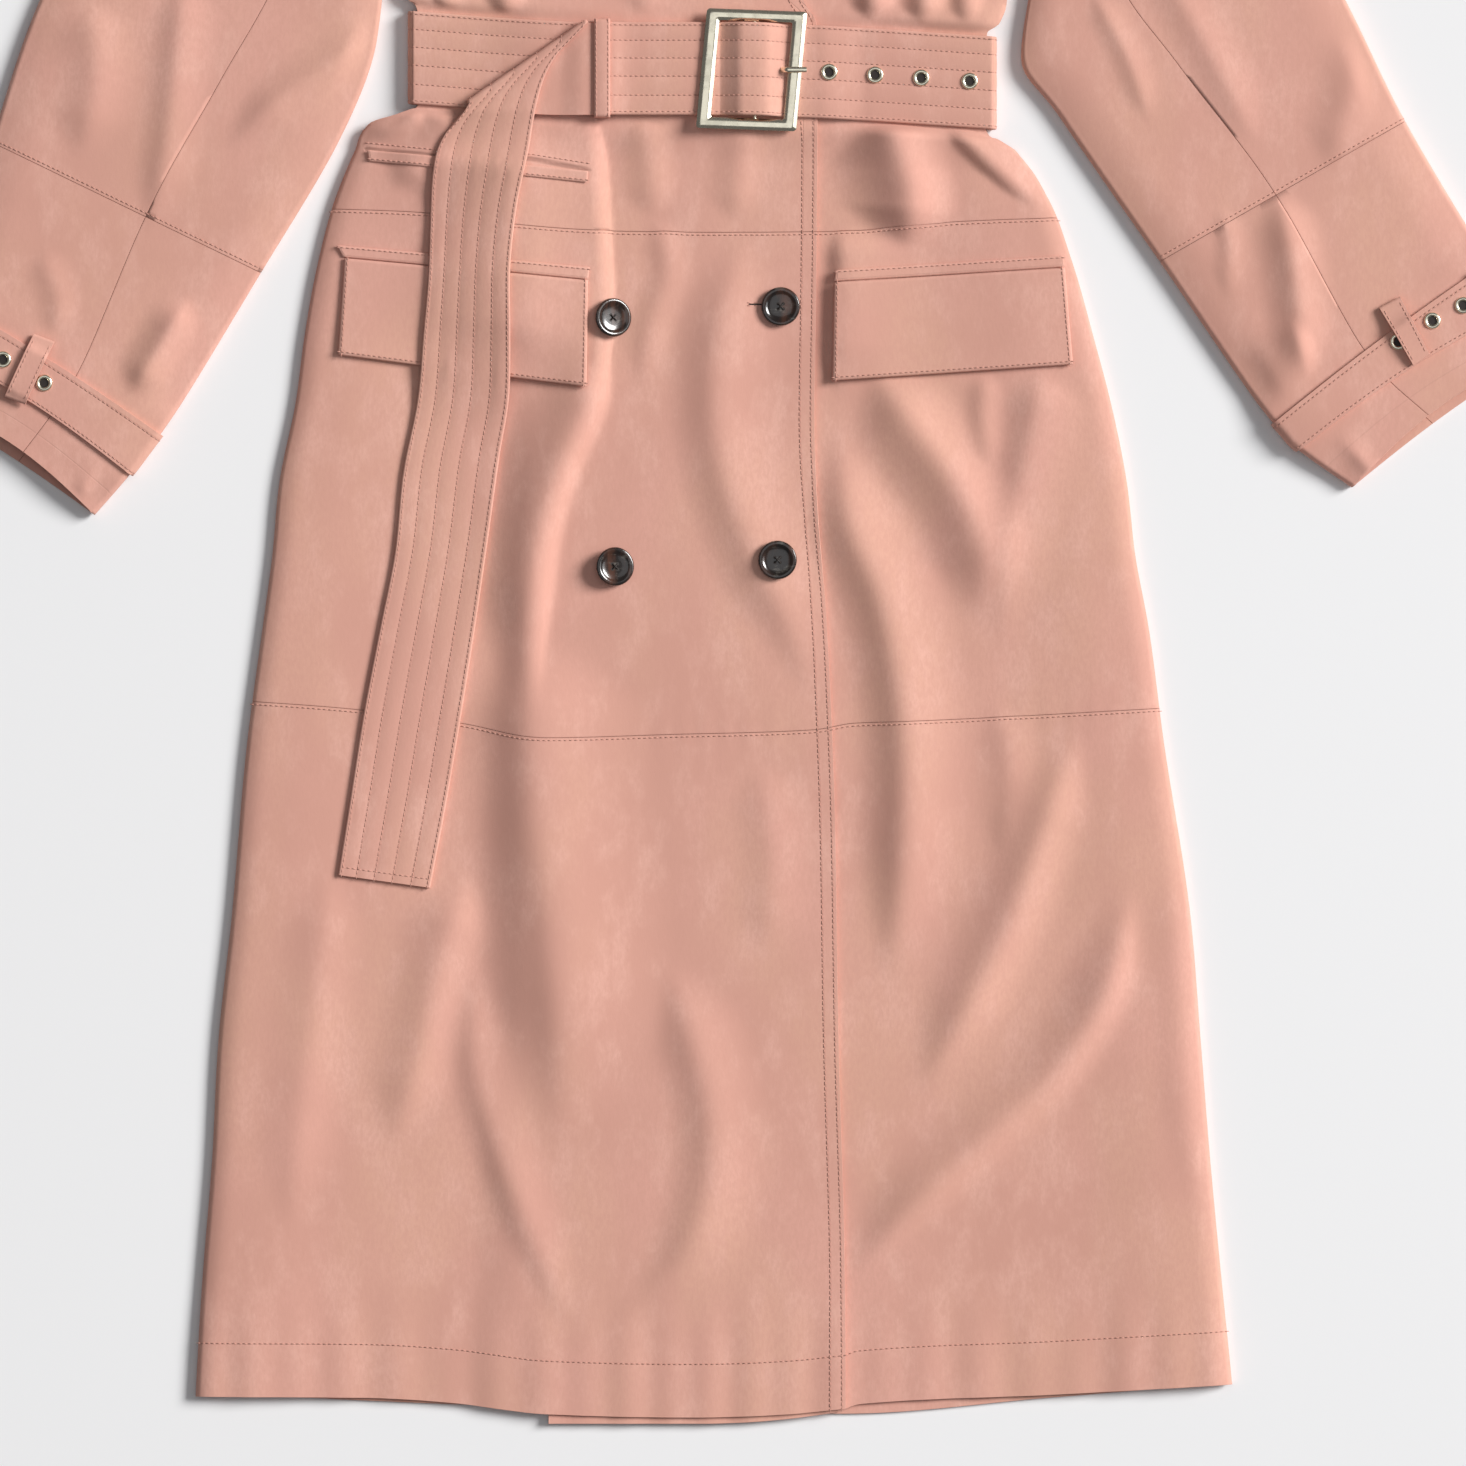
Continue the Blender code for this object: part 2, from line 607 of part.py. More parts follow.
# ---------------------------------------------------------------- the coat, piece by piece
def build_back():
    """Back panels: flat on the floor, lifted only where the belt runs under them."""
    shares = [0, 0.03, 0.2, 0.4, 0.6, 0.8, 0.97, 1]
    columns = [lambda y, s=s: side_left(y) + s * (side_right(y) - side_left(y)) for s in shares]

    def wall(name, x, y):
        lift = belt_lift(x, y)
        rim = np.where((np.arange(x.shape[1]) == 0) | (np.arange(x.shape[1]) == x.shape[1] - 1), 0.5, 0.0)
        top = np.stack([x, y, CLOTH + lift], axis=-1)
        bottom = np.stack([x, y, lift + rim], axis=-1)
        shell(name, top, bottom)

    wall("back_lower", *lattice(columns, tier_rows(knee_seam, back_hem, 5)))
    wall("back_middle", *lattice(columns, tier_rows(hip_seam, shifted(knee_seam, SEAM), 4)))
    low_rows = belt_rows([43, BELT_CLEAR, -BELT_CLEAR, -43])
    low_x, low_y = lattice(columns, low_rows)
    high = []
    for roll, share in zip(reversed(ROLL_LINES[1:]), BODICE_SHARES):
        left, right = (bodice_side(stations, roll.y, share) for stations in (RIGHT_SLEEVE, LEFT_SLEEVE))
        high.append([(left[0] + s * (right[0] - left[0]), left[1] + s * (right[1] - left[1]))
                     for s in shares])
    neck = ROLL_LINES[-1]
    shoulder_y = RIGHT_SLEEVE[0].outer_y
    neck_xs = [neck.right_edge, (neck.right_edge + neck.left_edge) / 2, neck.left_edge]
    tips = (armhole(RIGHT_SLEEVE, 0)[0], armhole(LEFT_SLEEVE, 0)[0])
    top_line = [(tips[0], shoulder_y), (0.6 * tips[0] + 0.4 * neck_xs[0], 0.6 * shoulder_y + 0.4 * neck.y),
                (neck_xs[0], neck.y), (neck_xs[1] - 25, neck.y - NECK_DIP),
                (neck_xs[1] + 25, neck.y - NECK_DIP), (neck_xs[2], neck.y),
                (0.6 * tips[1] + 0.4 * neck_xs[2], 0.6 * shoulder_y + 0.4 * neck.y), (tips[1], shoulder_y)]
    high[0] = top_line
    for r, blend in ((1, 0.45), (2, 0.15)):
        high[r][1:-1] = [((1 - blend) * own[0] + blend * above[0], own[1])
                         for own, above in zip(high[r][1:-1], top_line[1:-1])]
    high = np.array(high)
    wall("back_bodice", np.vstack([high[..., 0], low_x]), np.vstack([high[..., 1], low_y]))


def build_fronts():
    """Both fronts, each in three tiers; the right one closes over the left."""
    left = COLUMNS[FIRST_LEFT:]
    right = COLUMNS[:LAST_RIGHT + 1]
    middle = tier_rows(hip_seam, shifted(knee_seam, SEAM), 10)
    fill_front("left_front_middle", *lattice(left, middle), 0.0)
    x, y = lattice(right, middle)
    fill_front("right_front_middle", x, y, right_layer(x, y), ["left_front_middle"])
    fill_front("left_front_lower", *lattice(left, tier_rows(knee_seam, left_hem, 12)), 0.0)
    x, y = lattice(right, tier_rows(knee_seam, right_hem, 12))
    fill_front("right_front_lower", x, y, right_layer(x, y), ["left_front_lower"])
    fill_front("left_front_bodice",
               *bodice_lattice(FIRST_LEFT, len(COLUMNS) - 1, LEFT_SLEEVE, BODICE_SHARES, "left_edge"), 0.0)
    build_lapel("left_lapel", left_roll, 1, ["back_bodice", "left_front_bodice"])
    x, y = bodice_lattice(0, LAST_RIGHT, RIGHT_SLEEVE, BODICE_SHARES, "right_edge")
    fill_front("right_front_bodice", x, y, right_layer(x, y),
               ["back_bodice", "left_front_bodice", "left_lapel"])
    build_lapel("right_lapel", right_roll, -1,
                ["back_bodice", "right_front_bodice", "left_front_bodice", "left_lapel"])


Fallback = namedtuple("Fallback", "roll_y reach drop")
LAPEL = [  # from each place on the roll line out to the lapel's edge
    Fallback(46, 3, 1), Fallback(75, 21, 9), Fallback(115, 40, 16), Fallback(160, 58, 23),
    Fallback(212, 77, 31), Fallback(265, 91, 36), Fallback(302, 74, 58),
]
LAPEL_THICK = 1.6
Collar = namedtuple("Collar", "inner_x inner_y outer_x outer_y lift")
COLLAR = [  # half of the collar, x from the middle of the neck, from its point to the back
    Collar(46, 310, 106, 264, 4.6), Collar(55, 334, 122, 300, 4.6), Collar(63, 352, 122, 350, 4.6),
    Collar(55, 360, 92, 392, 3.4), Collar(28, 349, 50, 412, 2.8), Collar(0, 346, 0, 417, 2.8),
]


def build_lapel(name, roll, outwards, below):
    """Lapel folded back along the roll line and lying on its front."""
    grid = np.zeros((len(LAPEL), 6, 3))
    for r, row in enumerate(LAPEL):
        x = float(roll(row.roll_y))
        for c, share in enumerate(np.linspace(0, 1, 6)):
            grid[r, c] = (x + outwards * row.reach * share, row.roll_y - row.drop * share, CLOTH)
    laid = lay_on(grid, below)
    shell(name, raised(laid, LAPEL_THICK), laid)


def build_collar():
    """Collar lying round the neck: its points on the fronts, its back turned up past the neck."""
    middle = (ROLL_LINES[-1].right_edge + ROLL_LINES[-1].left_edge) / 2
    half = [Collar(-c.inner_x, c.inner_y, -c.outer_x, c.outer_y, c.lift) for c in COLLAR]
    rows = half + COLLAR[-2::-1]
    grid = np.zeros((len(rows), 5, 3))
    for r, row in enumerate(rows):
        for c, share in enumerate(np.linspace(0, 1, 5)):
            grid[r, c] = (middle + row.inner_x + (row.outer_x - row.inner_x) * share,
                          row.inner_y + (row.outer_y - row.inner_y) * share, row.lift)
    laid = lay_on(grid, ["back_bodice", "left_front_bodice", "right_front_bodice", "left_lapel", "right_lapel"])
    shell("collar", raised(laid, LAPEL_THICK), laid)


# ---------------------------------------------------------------- pockets and buttons
Strip = namedtuple("Strip", "name corners rows cols thick")
FLAPS = [
    Strip("right_pocket_flap", [(-220, -117), (-69, -131), (-70, -197), (-224, -177)], 5, 9, 2.0),
    Strip("left_pocket_flap", [(83, -132), (226, -123), (231, -183), (82, -193)], 5, 9, 2.0),
    Strip("right_pocket_welt", [(-225, -109), (-68, -123), (-69, -130.4), (-221, -116.4)], 2, 9, 1.2),
    Strip("left_pocket_welt", [(84, -124.5), (225, -115.5), (226, -122.4), (83, -131.4)], 2, 9, 1.2),
    Strip("ticket_pocket_welt", [(-206, -50), (-69, -63.5), (-69.5, -70.5), (-205, -57)], 2, 9, 1.2),
]
FLAP_HANG = 1.2           # how far a flap's lower edge stands off the coat
FRONTS = ["right_front_bodice", "right_front_middle", "right_front_lower",
          "left_front_bodice", "left_front_middle", "left_front_lower"]
Button = namedtuple("Button", "name x y tilt_x tilt_y")
BUTTONS = [
    Button("button_top_right", -64, 120, 0, 0), Button("button_top_left", 52, 120, 0, 0),
    Button("button_middle_right", -54.5, -154, 0.45, 0), Button("button_middle_left", 50, -147, 0, 0),
    Button("button_low_right", -53, -308, 0.25, 0), Button("button_low_left", 48, -304, 0, 0),
]
BUTTON_SIDES = 14
BUTTON_PROFILE = [(0, 0), (9.5, 0), (BUTTON_RADIUS, 1.4), (11.6, BUTTON_THICK), (9.4, BUTTON_THICK),
                  (7.8, 2.4), (0, 2.4)]


def build_pockets():
    """Flaps and welts, laid on the fronts."""
    for strip in FLAPS:
        grid = patch(strip.corners, strip.rows, strip.cols)
        grid[..., 2] = CLOTH
        laid = lay_on(grid, FRONTS)
        if strip.rows > 2:
            laid[..., 2] += FLAP_HANG * (np.arange(strip.rows) / (strip.rows - 1))[:, None] ** 2
        shell(strip.name, raised(laid, strip.thick), laid)


def rest_height(points, names, gap=GAP):
    """How far points must rise to clear the solids below them by gap."""
    below = tree_of(names)[0]
    rise = -1e9
    for x, y, z in points:
        hit = below.ray_cast(Vector((x, y, 500.0)), Vector((0, 0, -1)))[0]
        if hit is not None:
            rise = max(rise, hit.z + gap - z)
    return rise


def build_buttons():
    """Six dished buttons, each lying square on the cloth below it."""
    for button in BUTTONS:
        normal = Vector((button.tilt_x, button.tilt_y, 1)).normalized()
        turn = Vector((0, 0, 1)).rotation_difference(normal).to_matrix()
        ring = []
        for radius, height in ((BUTTON_RADIUS, 1.4), (9.5, 0), (5, 0), (BUTTON_RADIUS, BUTTON_THICK)):
            for k in range(24):
                spot = turn @ Vector((radius * cos(pi * k / 12), radius * sin(pi * k / 12), height))
                ring.append((button.x + spot.x, button.y + spot.y, spot.z))
        z = rest_height(ring, FRONTS + ["left_lapel", "right_pocket_flap"])
        turned(button.name, BUTTON_PROFILE, (button.x, button.y, z), HORN, BUTTON_SIDES, normal)


# ---------------------------------------------------------------- belt and buckle
BUCKLE_X, BUCKLE_Y, BUCKLE_TURN = 32.0, -1.0, -2.5    # centre, and degrees round Z
BUCKLE_HALF = (31.0, 37.0)           # half its outer width and height
BUCKLE_BARS = (8.5, 7.0)             # width of its upright and its level bars
BUCKLE_THICK = 3.0
BAR_X, BAR_Z, BAR_RADIUS = 34.0, 13.1, 1.2            # hidden centre bar that the belt is sewn round
PRONG_RADIUS = 1.1
PRONG_ROUTE = [   # x and z, from beside the centre bar up through the first hole and over the right bar
    (39.8, 11.2), (41.5, 10.7), (44, 10.6), (47.6, 10.65), (48.9, 11.0), (50.0, 12.1), (51.2, 13.9),
    (52.4, 15.6), (53.8, 16.8), (55.5, 17.15), (58, 17.1), (66, 16.7),
]
KEEPER_X = (-65.4, -55.4)
KEEPER_THICK = 1.5
EYELETS_X = [51.0, 80.0, 108.5, 137.0, 167.0]         # the prong goes through the first hole
TAIL_START = -62.5
BeltPoint = namedtuple("BeltPoint", "x z")


def arc(centre_x, centre_z, radius, start, end, count):
    """Belt points on an arc, angles in degrees."""
    return [BeltPoint(centre_x + radius * cos(radians(a)), centre_z + radius * sin(radians(a)))
            for a in np.linspace(start, end, count)]


def belt_path():
    """The belt's middle line seen along Y: from the centre bar, round under the back, to the keeper."""
    wrap = BAR_RADIUS + GAP + BELT_THICK / 2
    under = BELT_THICK / 2
    side = (8.2 - under) / 2
    path = [BeltPoint(27.5, BAR_Z + wrap)] + arc(BAR_X, BAR_Z, wrap, 90, -90, 6)
    path += [BeltPoint(x, BAR_Z - wrap) for x in (22, 0, -22, -45)]
    path += [BeltPoint(-53.5, 12.3), BeltPoint(-66.8, 12.3), BeltPoint(-73.5, 10.5), BeltPoint(-100, 10.5)]
    path += [BeltPoint(-132, 8.2), BeltPoint(-160, 8.2)]
    path += arc(-176.2, under + side, side, 90, 270, 7)
    path += [BeltPoint(x, under) for x in (-140, -90, -40, 10, 60, 110, 150)]
    path += arc(179.2, under + side, side, -90, 90, 7)
    path += [BeltPoint(x, 8.2) for x in (167, 152, 137, 122, 108.5, 98)]
    path += [BeltPoint(x, 10.5) for x in (80, 70, 60)]
    path += [BeltPoint(54.5, 10.6), BeltPoint(50, 12.0), BeltPoint(46, 14.6), BeltPoint(42, 17.2),
             BeltPoint(37, 18.3), BeltPoint(30, 18.4), BeltPoint(25, 18.0), BeltPoint(20, 15.8),
             BeltPoint(13.5, 13.1), BeltPoint(10, 13.0), BeltPoint(-2, 13.0), BeltPoint(-22, 13.0),
             BeltPoint(-44, 13.0), BeltPoint(-54, 14.8), BeltPoint(TAIL_START + 0.8, 14.8)]
    return path


def cut_holes(made, spots, depth_low, depth_high):
    """Punch round holes through an object at spots (x, y) in mm."""
    for number, (x, y) in enumerate(spots):
        mesh = bpy.data.meshes.new("hole")
        shape = bmesh.new()
        bmesh.ops.create_cone(shape, cap_ends=True, segments=EYELET_SIDES, radius1=EYELET_HOLE * 0.001,
                              radius2=EYELET_HOLE * 0.001, depth=(depth_high - depth_low) * 0.001)
        shape.to_mesh(mesh)
        shape.free()
        cutter = bpy.data.objects.new(f"{made.name}_hole_{number}", mesh)
        bpy.context.scene.collection.objects.link(cutter)
        cutter.location = to_world((x, y, (depth_low + depth_high) / 2))
        cutter.hide_render = True
        cutter.display_type = "WIRE"
        cut = made.modifiers.new(f"hole {number}", "BOOLEAN")
        cut.operation = "DIFFERENCE"
        cut.solver = "EXACT"
        cut.object = cutter


def build_belt_strap():
    """The belt from the buckle's centre bar round the waist and back to the keeper."""
    path = belt_path()
    half = BELT_WIDTH / 2
    across = np.array([-half, -half / 3, half / 3, half])
    top = np.zeros((len(path), len(across), 3))
    bottom = top.copy()
    for i, point in enumerate(path):
        before, after = path[max(i - 1, 0)], path[min(i + 1, len(path) - 1)]
        dx, dz = after.x - before.x, after.z - before.z
        length = hypot(dx, dz)
        for side, grid in ((1, top), (-1, bottom)):
            grid[i, :, 0] = point.x - side * dz / length * BELT_THICK / 2
            grid[i, :, 1] = belt_line(point.x) + across
            grid[i, :, 2] = point.z + side * dx / length * BELT_THICK / 2
    made = shell("belt_strap", top, bottom, SUEDE_BELT)
    cut_holes(made, [(x, float(belt_line(x))) for x in EYELETS_X], 6.0, 19.5)


def build_eyelet(name, x, y, z):
    """Turned metal eyelet whose flange lies on a strap with its top at z."""
    profile = [(2.4, -1.5), (2.8, -1.5), (2.8, GAP), (EYELET_OUTER, GAP), (4.2, 1.0), (2.4, 0.6)]
    turned(name, profile, (x, y, z), PALE_GOLD, EYELET_SIDES)


def build_keeper():
    """Loop that holds the belt's two layers together beside the buckle."""
    y = float(belt_line(sum(KEEPER_X) / 2))
    inner = (BELT_WIDTH / 2 + 0.4, 10.9, 16.2)
    loop = [(-1, 0), (1, 0), (1, 1), (-1, 1)]
    grids = []
    for grow in (KEEPER_THICK, 0.0):
        low, high = inner[1] - grow, inner[2] + grow
        grid = np.zeros((2, 4, 3))
        for r, x in enumerate(KEEPER_X):
            for c, (side, level) in enumerate(loop):
                grid[r, c] = (x, y + side * (inner[0] + grow), high if level else low)
        grids.append(grid)
    shell("belt_keeper", grids[0], grids[1], SUEDE_BELT, ring=True)


def frame_ring(name, half, bars, thick, place, bevel=1.0):
    """Rectangular metal frame with bevelled bars; place turns its own x, y, z into mm."""
    profile = [(0, 0, 0), (0, 0, thick - bevel), (0, bevel, thick), (1, -bevel, thick),
               (1, 0, thick - bevel), (1, 0, 0)]    # share of the bar's width, inset, height
    corner = 1.6
    rings = []
    for share, inset, height in profile:
        hx = half[0] - share * bars[0] - inset
        hy = half[1] - share * bars[1] - inset
        ring = [(hx - corner, -hy), (hx, -hy + corner), (hx, hy - corner), (hx - corner, hy),
                (-hx + corner, hy), (-hx, hy - corner), (-hx, -hy + corner), (-hx + corner, -hy)]
        rings.append([place(x, y, height) for x, y in ring])
    points = [p for ring in rings for p in ring]
    triangles = []
    for i in range(len(rings)):
        j = (i + 1) % len(rings)
        for k in range(8):
            n = (k + 1) % 8
            triangles.append((i * 8 + k, i * 8 + n, j * 8 + n))
            triangles.append((i * 8 + k, j * 8 + n, j * 8 + k))
    return add_solid(name, points, triangles, PALE_GOLD)


def build_buckle():
    """Centre-bar buckle, its prong through the first eyelet hole, tip on the right bar."""
    turn = radians(BUCKLE_TURN)

    def place(x, y, z):
        spun_x = BUCKLE_X + x * cos(turn) - y * sin(turn)
        spun_y = BUCKLE_Y + x * sin(turn) + y * cos(turn)
        return spun_x, spun_y, 14.5 - 0.0432 * (spun_x - 8) + z

    frame = frame_ring("buckle_frame", BUCKLE_HALF, BUCKLE_BARS, BUCKLE_THICK, place)
    mesh = bpy.data.meshes.new("buckle_centre_bar")
    shape = bmesh.new()
    bmesh.ops.create_cone(shape, cap_ends=True, segments=10, radius1=BAR_RADIUS * 0.001,
                          radius2=BAR_RADIUS * 0.001, depth=2 * (BUCKLE_HALF[1] - 4) * 0.001)
    shape.to_mesh(mesh)
    shape.free()
    bar = bpy.data.objects.new("buckle_centre_bar", mesh)
    bpy.context.scene.collection.objects.link(bar)
    bar.location = to_world((BAR_X, BUCKLE_Y, BAR_Z))
    bar.rotation_euler = (pi / 2, 0, 0)
    bar.hide_render = True
    bar.display_type = "WIRE"
    join = frame.modifiers.new("centre bar", "BOOLEAN")
    join.operation = "UNION"
    join.solver = "EXACT"
    join.object = bar

    y = float(belt_line(EYELETS_X[0]))
    add_rod("buckle_prong", [(x, y, z) for x, z in PRONG_ROUTE], PRONG_RADIUS, PALE_GOLD)


def add_rod(name, route, radius, finish, sides=8):
    """Round rod along a route that stays in a plane of constant y, with flat ends."""
    points, triangles = [], []
    for i, (x, y, z) in enumerate(route):
        before, after = route[max(i - 1, 0)], route[min(i + 1, len(route) - 1)]
        dx, dz = after[0] - before[0], after[2] - before[2]
        length = hypot(dx, dz)
        for k in range(sides):
            across, up = radius * cos(2 * pi * k / sides), radius * sin(2 * pi * k / sides)
            points.append((x - up * dz / length, y + across, z + up * dx / length))
    for i in range(len(route) - 1):
        for k in range(sides):
            a, b = i * sides + k, i * sides + (k + 1) % sides
            triangles += [(a, b, b + sides), (a, b + sides, a + sides)]
    last = (len(route) - 1) * sides
    for k in range(1, sides - 1):
        triangles += [(0, k + 1, k), (last, last + k, last + k + 1)]
    return add_solid(name, points, triangles, finish)


Tail = namedtuple("Tail", "right_x right_y left_x left_y")
TAIL_UNDER = [   # from the keeper to the fold line, fanning round its upper corner
    Tail(-62.5, 28.4, -62.5, -28.9), Tail(-63.9, 28.3, -79, -29), Tail(-65.2, 28.2, -96, -28.7),
    Tail(-66.4, 28.1, -112, -27.5), Tail(-67.6, 28.0, -128, -25.5),
]
TAIL_FOLD = Tail(-69.0, 28.4, -143, -22)
TAIL_HANG = [    # from the fold down to the end of the belt
    Tail(-76, 21, -146, -27), Tail(-87, 10, -152, -34), Tail(-96, -6, -158, -41),
    Tail(-102, -28, -163, -52), Tail(-106, -52, -166, -70), Tail(-113, -86, -167, -96),
    Tail(-117, -123, -168, -128), Tail(-117, -162, -171, -162), Tail(-118, -203, -175, -205),
    Tail(-124, -240, -184, -250), Tail(-131, -290, -189, -299), Tail(-139, -345, -198, -345),
    Tail(-148, -402, -208, -397), Tail(-157, -455, -216, -448), Tail(-167, -507, -224, -499),
]
FOLD_RADIUS = 1.4        # of the belt's middle line where it folds over itself
TAIL_SLOPE = 0.2         # how steeply the stiff tail comes down from the fold


def build_belt_tail():
    """The belt's end: out of the keeper, folded over itself, and hanging down the skirt."""
    shares = np.linspace(0, 1, 5)

    def line(row, z):
        x = row.right_x + (row.left_x - row.right_x) * shares
        y = row.right_y + (row.left_y - row.right_y) * shares
        return np.stack([x, y, z(x)], axis=-1)

    def under_z(x):
        return 13.1 + 1.7 * ease((x + 88) / 16)

    middle = [line(row, under_z) for row in TAIL_UNDER]
    fold = line(TAIL_FOLD, under_z)
    along = np.array([TAIL_FOLD.left_x - TAIL_FOLD.right_x, TAIL_FOLD.left_y - TAIL_FOLD.right_y])
    outward = np.array([along[1], -along[0]]) / hypot(*along)
    for angle in (-90, -30, 30, 90):
        bent = fold.copy()
        bent[:, :2] += outward * FOLD_RADIUS * (cos(radians(angle)) - 1)
        bent[:, 2] += FOLD_RADIUS * (1 + sin(radians(angle)))
        middle.append(bent)
    hang = np.array([line(row, lambda x: under_z(x) * 0 + CLOTH) for row in TAIL_HANG])
    upper = np.array([line(row, lambda x: under_z(x) + 2 * FOLD_RADIUS) for row in TAIL_HANG[:4]])
    laid = lay_on(hang, FRONTS + [strip.name for strip in FLAPS] + ["belt_strap"], gap=0.6)
    laid[..., 2] += BELT_THICK / 2
    laid[:4, :, 2] = np.maximum(laid[:4, :, 2], upper[..., 2])
    for r in range(1, len(laid)):
        run = np.hypot(*(laid[r, :, :2] - laid[r - 1, :, :2]).T)
        laid[r, :, 2] = np.maximum(laid[r, :, 2], laid[r - 1, :, 2] - TAIL_SLOPE * run)
    middle = np.concatenate([np.array(middle), laid])
    down_path = np.gradient(middle, axis=0)
    across = np.gradient(middle, axis=1)
    normal = np.cross(down_path, across)
    normal /= np.linalg.norm(normal, axis=-1, keepdims=True)
    shell("belt_tail", middle + normal * BELT_THICK / 2, middle - normal * BELT_THICK / 2, SUEDE_BELT)


# ---------------------------------------------------------------- sleeves
FRONT_SHARES = [1, 0.74, 0.48, 0.27, 0.1, 0]
BACK_SHARES = [0, 0.5, 1]
EDGE_ANGLES = [45, 90, 135]
REST_HEIGHT = 2 * CLOTH + 0.4          # a sleeve's two layers lying on each other


class Sleeve:
    """A flat sleeve: two layers joined by rounded folds along its outer and inner edges."""

    def __init__(self, side, stations):
        self.side = side
        self.stations = stations
        self.table = sleeve_table(stations)

    def lift(self, t):
        """How far the wrist is lifted by the strap that runs under it."""
        return STRAP_LIFT * float(ease((t - 5.7) / 0.22)) * (1 - float(ease((t - 7.1) / 0.75)))

    def radius(self, t):
        """Radius of the folded edges at row t."""
        return REST_HEIGHT / 2 + (EDGE_RADIUS - REST_HEIGHT / 2) * float(ease(t))

    def spot(self, t, share, bow_field):
        """Point in plan at a share of the way from the outer to the inner edge."""
        outer = (float(self.table["outer_x"](t)), float(self.table["outer_y"](t)))
        inner = (float(self.table["inner_x"](t)), float(self.table["inner_y"](t)))
        return bowed(outer, inner, float(self.table[bow_field](t)), share)

    def half(self, t, edge, offset, seam_gap=SEAM):
        """Points from the front seam round one edge to the back seam, moved out by offset."""
        radius, lift = self.radius(t), self.lift(t)
        seam = float(self.table["front_seam"](t))
        _, _, width = self.spot(t, 0.5, "back_bow")
        reach = (seam if edge == "outer" else 1 - seam) * width - seam_gap
        points = []

        def add(distance, z, bow_field, folded):
            share = distance / width if edge == "outer" else 1 - distance / width
            spot, _, _ = self.spot(t, share, bow_field) if 0 <= share <= 1 else self.beyond(t, share)
            if folded:
                folds = float(fold_height(SLEEVE_FOLDS, spot[0], spot[1])) * (1 - lift / STRAP_LIFT)
                z += folds * float(ease((distance - radius) / 16))
            points.append((spot[0], spot[1], z))

        for part in FRONT_SHARES:
            distance = radius + (reach - radius) * part
            crown = (2 * radius - REST_HEIGHT) * (1 - float(ease((distance - radius) / 26)))
            add(distance, REST_HEIGHT + crown + lift + offset, "front_bow", True)
        for angle in EDGE_ANGLES:
            add(radius - (radius + offset) * sin(radians(angle)),
                radius + lift + (radius + offset) * cos(radians(angle)), "back_bow", False)
        for part in BACK_SHARES:
            add(radius + (reach - radius) * part, lift - offset, "back_bow", False)
        return points

    def beyond(self, t, share):
        """Point a little outside an edge, straight on along the row."""
        edge_share = 0.0 if share < 0 else 1.0
        spot, direction, width = self.spot(t, edge_share, "back_bow")
        return spot + direction * (share - edge_share) * width, direction, width

    def wall(self, name, edge, rows):
        """One cut piece of the sleeve."""
        top = np.array([self.half(t, edge, 0.0) for t in rows])
        bottom = np.array([self.half(t, edge, -CLOTH) for t in rows])
        shell(name, top, bottom)

    def band(self, name, rows, inner, outer):
        """Closed band round the sleeve, such as its strap."""
        grids = []
        for offset in (outer, inner):
            grid = []
            for t in rows:
                ring = self.half(t, "outer", offset, 0.0)[:-1]
                ring += self.half(t, "inner", offset, 0.0)[:0:-1]
                grid.append(ring)
            grids.append(np.array(grid))
        return shell(name, grids[0], grids[1], SUEDE_BELT, ring=True)

    def build(self):
        """All four cut pieces and the strap."""
        gap = SEAM / 90
        upper = [0.004, 0.5, 1, 1.7, 2.4, 3.2, 4.1, ELBOW - gap]
        lower = [ELBOW + gap, 5.35, 5.7, STRAP_TOP, 6.5, STRAP_END, 7.5, CUFF]
        for edge in ("outer", "inner"):
            self.wall(f"{self.side}_sleeve_{edge}_upper", edge, upper)
            self.wall(f"{self.side}_sleeve_{edge}_lower", edge, lower)
        return self.band(f"{self.side}_sleeve_strap", [STRAP_TOP, 6.5, STRAP_END], GAP, GAP + STRAP_THICK)


Loop = namedtuple("Loop", "side corners stand")
LOOPS = [
    Loop("right", [(-412, -164), (-399, -169), (-417, -208), (-430, -203)], 1.0),
    Loop("left", [(420, -148), (433, -141), (451, -177), (441, -184)], 1.8),
]
STRAP_EYELETS = {"right": [(-431, -180), (-405.5, -194.5)], "left": [(432, -169), (453, -156), (472, -146.5)]}
STRAP_BUCKLES = {"right": (-462, -164, -32), "left": (493.5, -138.5, 36)}   # x, y and turn in degrees


